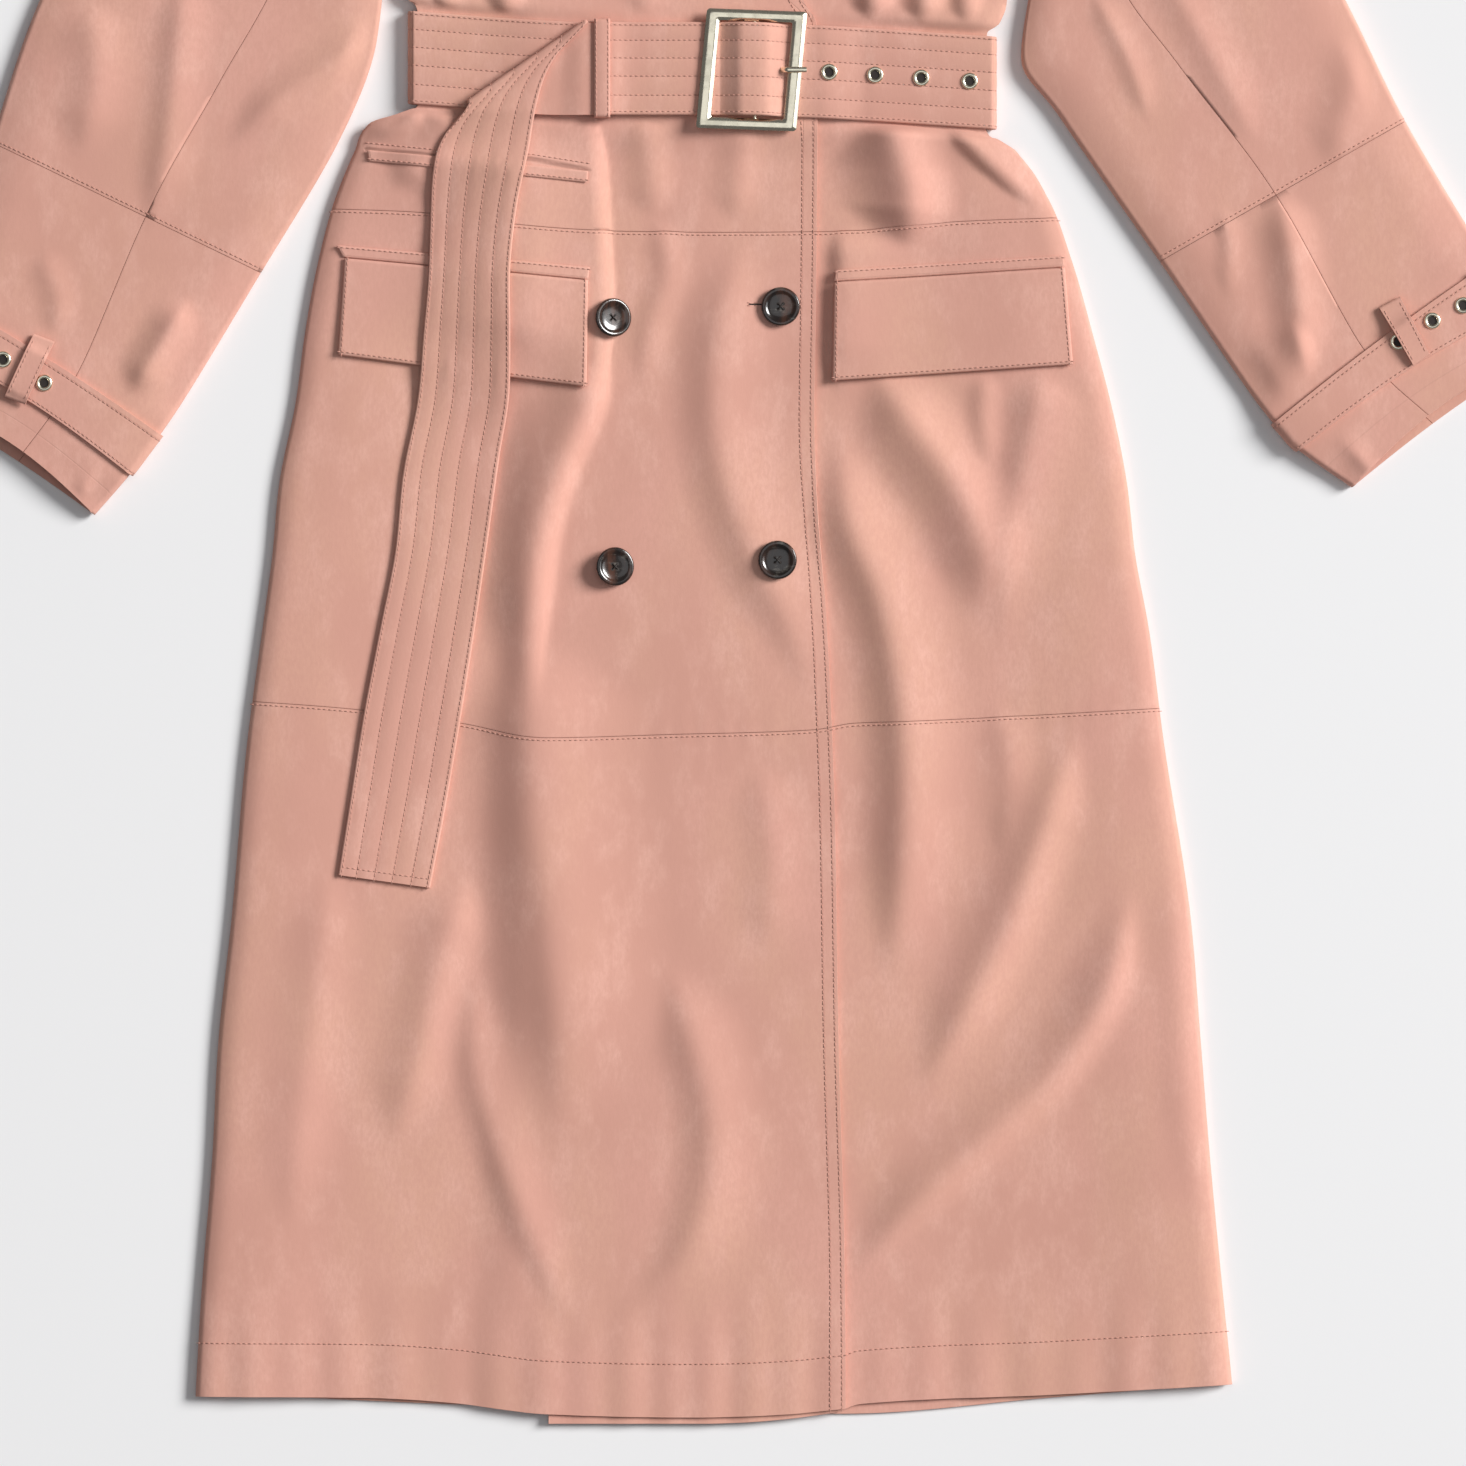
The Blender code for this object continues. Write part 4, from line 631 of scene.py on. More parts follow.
@dataclass(frozen=True)
class ThreadFinish:
    """Twisted sewing thread a little darker than the cloth."""

    name: str
    colour: Colour = (0.640, 0.335, 0.265)

    def build(self) -> Material:
        """Make the material."""
        nodes = Nodes(self.name)
        twist = nodes.noise(5000.0, 1.0)
        return nodes.dress(Base_Color=nodes.mix(twist, self.colour, darker(self.colour, 0.8)), Roughness=0.6)


@dataclass(frozen=True)
class HornFinish:
    """Dark streaked horn, polished."""

    name: str
    dark: Colour = (0.012, 0.008, 0.007)
    brown: Colour = (0.075, 0.030, 0.018)
    grey: Colour = (0.16, 0.145, 0.125)

    def build(self) -> Material:
        """Make the material."""
        nodes = Nodes(self.name)
        streak = nodes.noise(90.0, 4.0, (1.0, 0.3, 1.0), 0.6)
        fleck = nodes.noise(260.0, 3.0, (0.5, 1.0, 1.0), 0.6)
        colour = nodes.mix(nodes.ramp(streak, 0.42, 0.66, 0.0, 1.0), self.dark, self.brown)
        colour = nodes.mix(nodes.ramp(fleck, 0.56, 0.80, 0.0, 0.8), colour, self.grey)
        return nodes.dress(Base_Color=colour, Roughness=0.22, Coat_Weight=0.5, Coat_Roughness=0.1)


@dataclass(frozen=True)
class MetalFinish:
    """Pale champagne gold plating with faint polishing marks."""

    name: str
    colour: Colour = (0.90, 0.84, 0.67)

    def build(self) -> Material:
        """Make the material."""
        nodes = Nodes(self.name)
        wear = nodes.noise(140.0, 4.0)
        colour = nodes.mix(nodes.ramp(wear, 0.4, 0.7, 0.0, 1.0), self.colour, darker(self.colour, 0.82))
        return nodes.dress(Base_Color=colour, Roughness=nodes.ramp(wear, 0.3, 0.7, 0.20, 0.30), Metallic=1.0)


class Slot(Enum):
    """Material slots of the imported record."""

    SUEDE = "suede"
    BELT = "suede_belt"
    HORN = "horn"
    METAL = "pale_gold"


# ---------------------------------------------------------------- meshes
def new_object(name: str, points: Array, faces: Sequence[Sequence[int]], material: Material,
               sharp: float = 50.0) -> Object:
    """Smooth-shaded object whose faces point outwards.

    Args:
        name: name of the piece.
        points: its points in mm.
        faces: its faces as point numbers.
        material: its finish.
        sharp: angle in degrees above which an edge stays sharp.

    Returns:
        The new object, with its place in its mesh.
    """
    mesh = bpy.data.meshes.new(name + DRESSED)
    mesh.from_pydata(place(points).tolist(), [], [tuple(int(i) for i in f) for f in faces])
    shape = bmesh.new()
    shape.from_mesh(mesh)
    bmesh.ops.recalc_face_normals(shape, faces=shape.faces)
    if shape.calc_volume(signed=True) < 0:
        bmesh.ops.reverse_faces(shape, faces=shape.faces)
    return finished(name, mesh, shape, material, sharp)


def finished(name: str, mesh: bpy.types.Mesh, shape: bmesh.types.BMesh, material: Material,
             sharp: float) -> Object:
    """Write a shape into its mesh and make the object.

    Args:
        name: name of the piece.
        mesh: the mesh that takes the shape.
        shape: the shape, which is freed.
        material: its finish.
        sharp: angle in degrees above which an edge stays sharp.

    Returns:
        The new object.
    """
    shape.to_mesh(mesh)
    shape.free()
    mesh.shade_smooth()
    mesh.set_sharp_from_angle(angle=radians(sharp))
    mesh.materials.append(material)
    return linked(name + DRESSED, mesh)


def quads(index: Array, closed: bool = False) -> Array:
    """Faces between the rows and columns of a grid of point numbers.

    Args:
        index: the grid.
        closed: whether the last row joins the first.

    Returns:
        Four point numbers for each face.
    """
    if closed:
        index = np.concatenate([index, index[:1]])
    return np.stack([index[:-1, :-1], index[:-1, 1:], index[1:, 1:], index[1:, :-1]], axis=-1).reshape(-1, 4)


def cloth_shell(name: str, top: Array, bottom: Array, material: Material,
                attributes: dict[str, Array], ring: bool, rim: float) -> Object:
    """Closed wall between two grids, with rounded edges.

    Args:
        name: name of the piece.
        top: the outer grid of points, rows by columns.
        bottom: the inner grid.
        material: its finish.
        attributes: values in mm for each point of the grids, by name.
        ring: whether the last column joins the first.
        rim: how far the edges' corners are drawn in to round them.

    Returns:
        The new object.
    """
    rows, cols = top.shape[:2]
    middle = (top + bottom) / 2
    top, bottom = top.copy(), bottom.copy()
    for grid in (top, bottom):
        for lines in (grid,) if ring else (grid, grid.swapaxes(0, 1)):
            for edge, inner in ((0, 1), (-1, -2)):
                step = lines[inner] - lines[edge]
                length = np.maximum(np.linalg.norm(step, axis=-1, keepdims=True), 1e-6)
                lines[edge] += step * np.minimum(rim / length, 0.45)
    index = np.arange(rows * cols).reshape(rows, cols)
    if ring:
        index = np.concatenate([index, index[:, :1]], axis=1)
        loops = [[(r, c) for c in range(cols)] for r in (0, rows - 1)]
    else:
        loops = [[(0, c) for c in range(cols)] + [(r, cols - 1) for r in range(1, rows)]
                 + [(rows - 1, c) for c in range(cols - 2, -1, -1)] + [(r, 0) for r in range(rows - 2, 0, -1)]]
    under = index + rows * cols
    points = [top.reshape(-1, 3), bottom.reshape(-1, 3)]
    faces = [quads(index), quads(under)[:, ::-1]]
    count = 2 * rows * cols
    for loop in loops:
        r, c = np.array(loop).T
        points.append(middle[r, c])
        lines = (index[r, c], np.arange(count, count + len(loop)), under[r, c])
        faces.append(quads(np.stack([np.append(line, line[0]) for line in lines])))
        count += len(loop)
    made = new_object(name, np.concatenate(points), np.concatenate(faces), material, 75.0)
    for key, values in attributes.items():
        flat = np.broadcast_to(values, (rows, cols)).reshape(-1)
        tail = np.full(count - 2 * len(flat), flat.max() + 50.0)
        data = made.data.attributes.new(key, "FLOAT", "POINT")
        data.data.foreach_set("value", np.concatenate([flat, flat + 500.0, tail]).astype(np.float32))
    return made


def lathe(name: str, profile: Sequence[tuple[float, float]], centre: Sequence[float], normal: Sequence[float],
          material: Material, sides: int) -> Object:
    """Closed turned piece.

    Args:
        name: name of the piece.
        profile: (radius, height) points in mm; the first and the last lie on the axis.
        centre: where the axis starts.
        normal: direction of the axis.
        material: its finish.
        sides: points round it.

    Returns:
        The new object.
    """
    turn = Vector((0, 0, 1)).rotation_difference(Vector(normal).normalized()).to_matrix()
    points, ids = [], []
    for radius, height in profile:
        count = sides if radius else 1
        ids.append([len(points) + k % count for k in range(sides)])
        points += [turn @ Vector((radius * cos(2 * pi * k / sides), radius * sin(2 * pi * k / sides), height))
                   for k in range(count)]
    faces = []
    for here, there in zip(ids, ids[1:]):
        for k in range(sides):
            face = [here[k], here[(k + 1) % sides], there[(k + 1) % sides], there[k]]
            faces.append(list(dict.fromkeys(face)))
    return new_object(name, np.array([tuple(p) for p in points]) + np.array(centre), faces, material)


def tube(name: str, path: Array, radius: float, material: Material, sides: int = 8,
         widen: float = 1.0) -> Object:
    """Round or oval rod along a path with flat ends.

    Args:
        name: name of the piece.
        path: points in mm.
        radius: of the rod, in mm.
        material: its finish.
        sides: points round it.
        widen: how much wider than high it is.

    Returns:
        The new object.
    """
    forward = np.gradient(path, axis=0)
    forward /= np.linalg.norm(forward, axis=1, keepdims=True)
    side = np.cross(forward, (0.0, 0.0, 1.0))
    side /= np.maximum(np.linalg.norm(side, axis=1, keepdims=True), 1e-9)
    up = np.cross(side, forward)
    angle = 2 * pi * np.arange(sides) / sides
    points = path[:, None] + radius * (widen * side[:, None] * np.cos(angle)[None, :, None]
                                       + up[:, None] * np.sin(angle)[None, :, None])
    index = np.arange(len(path) * sides).reshape(len(path), sides)
    faces = quads(np.concatenate([index, index[:, :1]], axis=1)).tolist()
    faces += [index[0, ::-1].tolist(), index[-1].tolist()]
    return new_object(name, points.reshape(-1, 3), faces, material)


def join_objects(parts: Sequence[Object], name: str) -> Object:
    """Make one object of several with the same finish.

    Args:
        parts: the objects, which are removed.
        name: name of the new piece.

    Returns:
        The new object.
    """
    shape = bmesh.new()
    material = parts[0].data.materials[0]
    for part in parts:
        shape.from_mesh(part.data)
        bpy.data.objects.remove(part, do_unlink=True)
    return finished(name, bpy.data.meshes.new(name + DRESSED), shape, material, 50.0)


def metal_frame(name: str, half: tuple[float, float], bars: tuple[float, float], thick: float, corner: float,
                setting: Callable[[Array, Array, Array], Array], material: Material) -> Object:
    """Rectangular metal frame with domed bars and rounded corners.

    Args:
        name: name of the piece.
        half: half its outer width and height, in mm.
        bars: width of its upright and its level bars.
        thick: thickness of its bars.
        corner: radius of its outer corners.
        setting: turns its own x, y, z into points.
        material: its finish.

    Returns:
        The new object.
    """
    profile = [(0.0, 0.3, 0.0), (0.0, 0.0, 0.3)]       # share of a bar's width, inset, height
    for share in np.linspace(0, 1, 11):
        rise = 1 - (2 * share - 1) ** 2
        profile.append((float(share), 0.0, thick * (0.52 + 0.48 * min(1.0, 1.25 * rise))))
    profile += [(1.0, 0.0, 0.3), (1.0, -0.3, 0.0)]
    rings = []
    for share, inset, height in profile:
        hx, hy = half[0] - share * bars[0] - inset, half[1] - share * bars[1] - inset
        radius = max(corner - inset - share * corner * 0.55, 0.3)
        rings.append([(x, y, height) for sx, sy, start in ((1, -1, 270), (1, 1, 0), (-1, 1, 90), (-1, -1, 180))
                      for x, y in arc(sx * (hx - radius), sy * (hy - radius), radius,
                                      np.linspace(start, start + 90, 6))])
    points = np.array(rings)
    placed = setting(points[..., 0], points[..., 1], points[..., 2]).reshape(-1, 3)
    index = np.arange(len(placed)).reshape(points.shape[:2])
    faces = quads(np.concatenate([index, index[:, :1]], axis=1), closed=True)
    return new_object(name, placed, faces, material, 32.0)


class Ground:
    """Heights of the pieces that the next one is laid on."""

    trees: dict[str, BVHTree] = {}

    def __init__(self, pieces: Sequence[Object]) -> None:
        """Take the pieces' faces; each piece is read once.

        Args:
            pieces: finished pieces.
        """
        for piece in pieces:
            if piece.name not in self.trees:
                mesh = piece.data
                self.trees[piece.name] = BVHTree.FromPolygons([v.co[:] for v in mesh.vertices],
                                                              [p.vertices[:] for p in mesh.polygons])
        self.own = [self.trees[piece.name] for piece in pieces]

    def heights(self, x: Array, y: Array) -> Array:
        """Height in mm of the highest piece.

        Args:
            x: places across the coat.
            y: places along it.

        Returns:
            The height at each place, and 0 beside the pieces.
        """
        spots = place(stack(x, y, 0.0)).reshape(-1, 3)
        found = np.zeros(len(spots))
        down = Vector((0, 0, -1))
        for tree in self.own:
            for i, (sx, sy, _) in enumerate(spots):
                hit = tree.ray_cast(Vector((sx, sy, 0.2)), down)[0]
                if hit is not None:
                    found[i] = max(found[i], hit.z * 1000)
        return found.reshape(np.broadcast(x, y).shape)


# ---------------------------------------------------------------- sewing
class GeometryTree:
    """Geometry Nodes that set a small shape on points, ending in Realize Instances and Set Material."""

    def __init__(self, name: str, sizes: dict[str, float], material: Material) -> None:
        """Start the tree.

        Args:
            name: name of the tree.
            sizes: its named inputs, in mm.
            material: finish of what it makes.
        """
        self.tree = bpy.data.node_groups.new(name, "GeometryNodeTree")
        new_socket = self.tree.interface.new_socket
        new_socket("Geometry", in_out="INPUT", socket_type="NodeSocketGeometry")
        self.sizes = {}
        for key, value in sizes.items():
            socket = new_socket(key, in_out="INPUT", socket_type="NodeSocketFloat")
            socket.default_value = value * 0.001
            self.sizes[socket.identifier] = value * 0.001
        new_socket("Geometry", in_out="OUTPUT", socket_type="NodeSocketGeometry")
        self.start = self.add("NodeGroupInput")
        self.shape = self.add("GeometryNodeSetShadeSmooth")
        self.lay = self.add("GeometryNodeInstanceOnPoints", Instance=(self.shape, "Geometry"))
        real = self.add("GeometryNodeRealizeInstances", Geometry=(self.lay, "Instances"))
        paint = self.add("GeometryNodeSetMaterial", Geometry=(real, "Geometry"), Material=material)
        self.add("NodeGroupOutput", Geometry=(paint, "Geometry"))

    def add(self, kind: str, **inputs: object) -> bpy.types.Node:
        """Add a node.

        Args:
            kind: its type.
            inputs: a value, or a node and the name of its output, for each input, with _ for a space.

        Returns:
            The node.
        """
        node = self.tree.nodes.new(kind)
        self.feed(node, **inputs)
        return node

    def feed(self, node: bpy.types.Node, **inputs: object) -> None:
        """Link or set a node's inputs.

        Args:
            node: the node.
            inputs: as in add().
        """
        for key, value in inputs.items():
            target = node.inputs[key.replace("_", " ")]
            if isinstance(value, tuple):
                self.tree.links.new(value[0].outputs[value[1]], target)
            else:
                target.default_value = value

    def bake(self, guide: Object, name: str) -> Object:
        """Run the tree on a guide.

        Args:
            guide: the points or lines, which are removed.
            name: name of the piece.

        Returns:
            A plain mesh object of what the tree makes.
        """
        modifier = guide.modifiers.new(self.tree.name, "NODES")
        modifier.node_group = self.tree
        for identifier, value in self.sizes.items():
            modifier[identifier] = value
        graph = bpy.context.evaluated_depsgraph_get()
        mesh = bpy.data.meshes.new_from_object(guide.evaluated_get(graph), depsgraph=graph)
        mesh.name = name
        bpy.data.objects.remove(guide, do_unlink=True)
        return linked(name, mesh)


@dataclass
class StitchRows:
    """Rows of sewn stitches, set along lines by Geometry Nodes."""

    material: Material
    pitch: float = 3.3
    length: float = 2.3
    radius: float = 0.26
    lines: list[Array] = field(default_factory=list)

    def add(self, line: Array, lift: float = 0.12) -> None:
        """Sew along this line of points in mm, at this height above it."""
        self.lines.append(np.array(line, float) + (0, 0, lift))

    def build(self, name: str) -> Object:
        """Lay a short rod on each step of every line.

        Args:
            name: name of the piece.

        Returns:
            Every stitch as one mesh.
        """
        curve = bpy.data.curves.new(name + "_lines", "CURVE")
        curve.dimensions = "3D"
        for line in self.lines:
            spline = curve.splines.new("POLY")
            spline.points.add(len(line) - 1)
            spots = np.concatenate([place(line), np.ones((len(line), 1))], axis=1)
            spline.points.foreach_set("co", spots.reshape(-1))
        sizes = {"Pitch": self.pitch, "Length": self.length, "Radius": self.radius}
        tree = GeometryTree("stitch rows", sizes, self.material)
        steps = tree.add("GeometryNodeResampleCurve")
        steps.mode = "LENGTH"       # before its Length can be fed
        tree.feed(steps, Curve=(tree.start, "Geometry"), Length=(tree.start, "Pitch"))
        rod = tree.add("GeometryNodeMeshCylinder", Vertices=5, Depth=(tree.start, "Length"),
                       Radius=(tree.start, "Radius"))
        tangent = tree.add("GeometryNodeInputTangent")
        aim = tree.add("FunctionNodeAlignRotationToVector", Vector=(tangent, "Tangent"))
        aim.axis = "Z"
        tree.feed(tree.shape, Geometry=(rod, "Mesh"))
        tree.feed(tree.lay, Points=(steps, "Curve"), Rotation=(aim, "Rotation"))
        return tree.bake(linked(name + "_lines", curve), name)


# ---------------------------------------------------------------- assembly of pieces
@dataclass
class Workshop:
    """Finishes, threads and finished pieces that all the coat's parts share."""

    thread: StitchRows
    dark_thread: Material
    metal: Material
    horn: Material
    pieces: dict[str, Object] = field(default_factory=dict)
    grids: dict[str, Array] = field(default_factory=dict)

    def keep(self, piece: Object, slot: Slot, *nodes: str) -> None:
        """Put a finished piece on the frame.

        Args:
            piece: the piece.
            slot: its material slot; not used.
            nodes: the CAD nodes that it takes the place of.
        """
        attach(piece, BODY)
        if nodes:
            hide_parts(*nodes)
        self.pieces[piece.name.removesuffix(DRESSED)] = piece
        log.info("%s: %d faces", piece.name, len(piece.data.polygons))

    def cloth(self, name: str, top: Array, bottom: Array, finish: SuedeFinish, slot: Slot = Slot.SUEDE,
              rests_on: Sequence[str] = (), ring: bool = False, rim: float = 0.16, **attributes: Array) -> None:
        """Build and keep one sheet of cloth.

        Args:
            name: name of the piece and of its CAD node.
            top: the outer grid of points, rows by columns.
            bottom: the inner grid.
            finish: its finish.
            slot: its material slot.
            rests_on: the pieces that it lies on.
            ring: whether the last column joins the first.
            rim: how far the edges' corners are drawn in to round them.
            attributes: values in mm for each point of the grids.
        """
        piece = cloth_shell(name, top, bottom, finish.build(), attributes, ring, rim)
        self.keep(piece, slot, name)
        self.grids[name] = top
        loop = np.concatenate([top, top[:, :1]], axis=1) if ring else top
        down = np.linalg.norm(np.diff(loop, axis=0), axis=-1).sum(axis=0).max()
        across = np.linalg.norm(np.diff(loop, axis=1), axis=-1).sum(axis=1).max()
        sides = np.cross(loop[1:, 1:] - loop[:-1, :-1], loop[1:, :-1] - loop[:-1, 1:])
        area = 0.5 * np.linalg.norm(sides, axis=-1).sum()
        area = min(max(area, 0.31 * down * across), down * across)
        [self.pieces[n] for n in rests_on]

    def sew(self, name: str, x: Array, y: Array) -> None:
        """Sew a row of stitches on a finished piece."""
        self.thread.add(stack(x, y, self.ground(name).heights(x, y)))

    def ground(self, *names: str) -> Ground:
        """Heights of these finished pieces, and of none of those that aren't finished yet."""
        return Ground([self.pieces[name] for name in names if name in self.pieces])


@dataclass
class CoatShape:
    """Outline, seams and heights of the body of the coat."""

    lift: float = 2.5                # of what lies over the belt that runs under the back
    clear: float = 31.0              # half width of the strip that it lifts
    ramp: float = 27.0               # how far the lift takes to fade out
    flat: float = 29.5               # half width of the strip that the belt presses flat
    side_reach: float = 150.0        # how far from each side the cloth's roll reaches
    fold_start: float = 24.0         # how far from each side the folds reach their height
    slope_step: float = 0.5          # step for the slopes of the cloth

    def __post_init__(self) -> None:
        """Turn the tables into smooth curves."""
        self.belt_line, self.hip, self.knee, self.right_hem, self.left_hem, self.back_hem = (
            of_rows(table, "x", "y")
            for table in (BELT_LINE, HIP_SEAM, KNEE_SEAM, RIGHT_HEM, LEFT_HEM, BACK_HEM))
        self.side_left, self.side_right = (of_rows(table, "y", "x") for table in (LEFT_SIDE, RIGHT_SIDE))
        self.right_roll, self.left_roll = (
            smooth_table([r.y for r in ROLL_LINES] + [e.y for e in edge],
                         [getattr(r, side) for r in ROLL_LINES] + [e.x for e in edge])
            for side, edge in (("right", RIGHT_EDGE), ("left", LEFT_EDGE)))
        self.side_roll = smooth_table([0, 5, 13, 30, 80, self.side_reach], [0.0, 1.9, 3.2, 3.4, 1.4, 0.0])

    def sides(self, front: str) -> tuple[Curve, Curve]:
        """The -X and the +X edge of the right or the left front."""
        return (self.side_left, self.right_roll) if front == "right" else (self.left_roll, self.side_right)

    def belt_lift(self, x: Array, y: Array) -> Array:
        """How far the belt under the back lifts everything above it."""
        away = np.abs(y - self.belt_line(x))
        return self.lift * (1 - ease((away - self.clear) / self.ramp))

    def base(self, x: Array, y: Array) -> Array:
        """Height of the under side of the front cloth that lies over the back.

        Args:
            x: places across the coat.
            y: places along it.

        Returns:
            The height in mm at each place.
        """
        pressed = ease((np.abs(y - self.belt_line(x)) - self.flat) / 8)
        left = np.minimum(x - self.side_left(y), self.side_reach)
        right = np.minimum(self.side_right(y) - x, self.side_reach)
        roll = (self.side_roll(left) + self.side_roll(right)) * ease((60 - y) / 30)
        folds = fold_height(FOLDS, x, y) * ease(np.minimum(left, right) / self.fold_start)
        return STACK + self.belt_lift(x, y) + (roll + folds + self.ripples(x, y)) * pressed

    def ripples(self, x: Array, y: Array) -> Array:
        """Puckers along the knee seam and small waves along the hem.

        Args:
            x: places across the coat.
            y: places along it.

        Returns:
            The height in mm that they add at each place.
        """
        knee = np.exp(-np.abs(y - self.knee(x)) / 11)
        pucker = 0.28 * knee * (0.5 + 0.5 * np.sin(x * 0.42 + 1.3 * np.sin(x * 0.05))) * (
            0.5 + 0.5 * np.sin(x * 0.031 + 1.0))
        hem = ease((-740 - y) / 70) * 0.55 * (1 + 0.6 * np.sin(x * 0.225 + 1.5 * np.sin(x * 0.017))
                                             + 0.4 * np.sin(x * 0.141 + 2.0))
        return pucker + hem

    def layers(self, x: Array, y: Array, *offsets: Array | float) -> list[Array]:
        """Grids of the front cloth.

        Args:
            x: places across the coat.
            y: places along it.
            offsets: how far each grid is moved out from the base.

        Returns:
            The grids' points.
        """
        z, step = self.base(x, y), self.slope_step
        slope_x = (self.base(x + step, y) - self.base(x - step, y)) / (2 * step)
        slope_y = (self.base(x, y + step) - self.base(x, y - step)) / (2 * step)
        length = np.sqrt(1 + slope_x ** 2 + slope_y ** 2)
        return [stack(x - slope_x / length * above, y - slope_y / length * above, z + above / length)
                for above in offsets]

    @staticmethod
    def between(left: Curve, right: Curve, curve: Curve, share: Array) -> tuple[Array, Array]:
        """Points on a curve (y of x) between two side curves (x of y).

        Args:
            left: the -X side.
            right: the +X side.
            curve: the curve.
            share: shares of the way from left to right.

        Returns:
            The points' x and y.
        """
        x = np.zeros(share.shape)
        for _ in range(10):
            y = curve(x)
            x = left(y) + (right(y) - left(y)) * share
        return x, y

    def lattice(self, front: tuple[Curve, Curve], upper: Curve, lower: Curve, rows: int,
                cols: int) -> tuple[Array, Array]:
        """Grid between two sides and two seams.

        Args:
            front: the -X and the +X side, as x of y.
            upper: the upper seam, as y of x.
            lower: the lower seam.
            rows: points from top to bottom.
            cols: points from left to right.

        Returns:
            The grid's x and y.
        """
        v = np.linspace(0, 1, rows)[:, None]
        share = np.linspace(0, 1, cols)[None, :] + 0 * v
        return self.between(*front, lambda x: upper(x) + (lower(x) - upper(x)) * v, share)


ARM_SHARES = [0.0, 0.16, 0.36, 0.59, 0.82, 1.0]     # corners of the armhole line, from the shoulder


def bowed(outer: Array, inner: Array, bow: Array, share: Array) -> tuple[Array, Array, Array]:
    """Points at a share of the way from outer to inner, bowed up the sleeve.

    Args:
        outer: x and y of the outer ends.
        inner: x and y of the inner ends.
        bow: height of the bow at half way.
        share: share of the way.

    Returns:
        The points, the direction from outer to inner, and the width.
    """
    along = inner - outer
    width = np.linalg.norm(along, axis=-1, keepdims=True)
    along = along / width
    side = np.where(outer[..., :1] < 0, 1.0, -1.0)
    up = np.stack([-along[..., 1], along[..., 0]], axis=-1) * side
    rise = bow * np.sin(pi * np.clip(share, 0, 1))
    spot = outer + along * (share * width[..., 0])[..., None] + up * rise[..., None]
    return spot, along, width[..., 0]


def armhole(stations: Sequence[Station], share: float, gap: float = 0.25) -> Array:
    """Point of the body's armhole line.

    Args:
        stations: the sleeve's table.
        share: share of the way from the shoulder (0) to under the arm (1).
        gap: how far the body stops short of the sleeve.

    Returns:
        The point's x and y.
    """
    first = stations[0]
    ends = np.array([first.outer_x, first.outer_y, first.inner_x, first.inner_y], float).reshape(2, 1, 2)
    spot, along, _ = bowed(*ends, np.array([float(first.front_bow)]), np.array([share]))
    side = 1 if first.outer_x < 0 else -1
    return (spot + np.stack([-along[..., 1], along[..., 0]], axis=-1) * side * gap)[0]


class Fallback(NamedTuple):
    """How far a lapel reaches from its roll line, and how far it drops on the way."""

    y: float
    reach: float
    drop: float


LAPEL = [
    Fallback(46, 3, 1), Fallback(75, 21, 9), Fallback(115, 40, 16), Fallback(160, 58, 23),
    Fallback(212, 77, 31), Fallback(265, 91, 36), Fallback(302, 74, 58),
]


class CollarRow(NamedTuple):
    """One row of half the collar, x from the middle of the neck."""

    inner_x: float
    inner_y: float
    outer_x: float
    outer_y: float
    lift: float


COLLAR = [
    CollarRow(46, 310, 106, 264, 4.6), CollarRow(55, 334, 122, 300, 4.6), CollarRow(63, 352, 122, 350, 4.6),
    CollarRow(55, 360, 92, 392, 3.4), CollarRow(28, 349, 50, 412, 2.8), CollarRow(0, 346, 0, 417, 2.8),
]


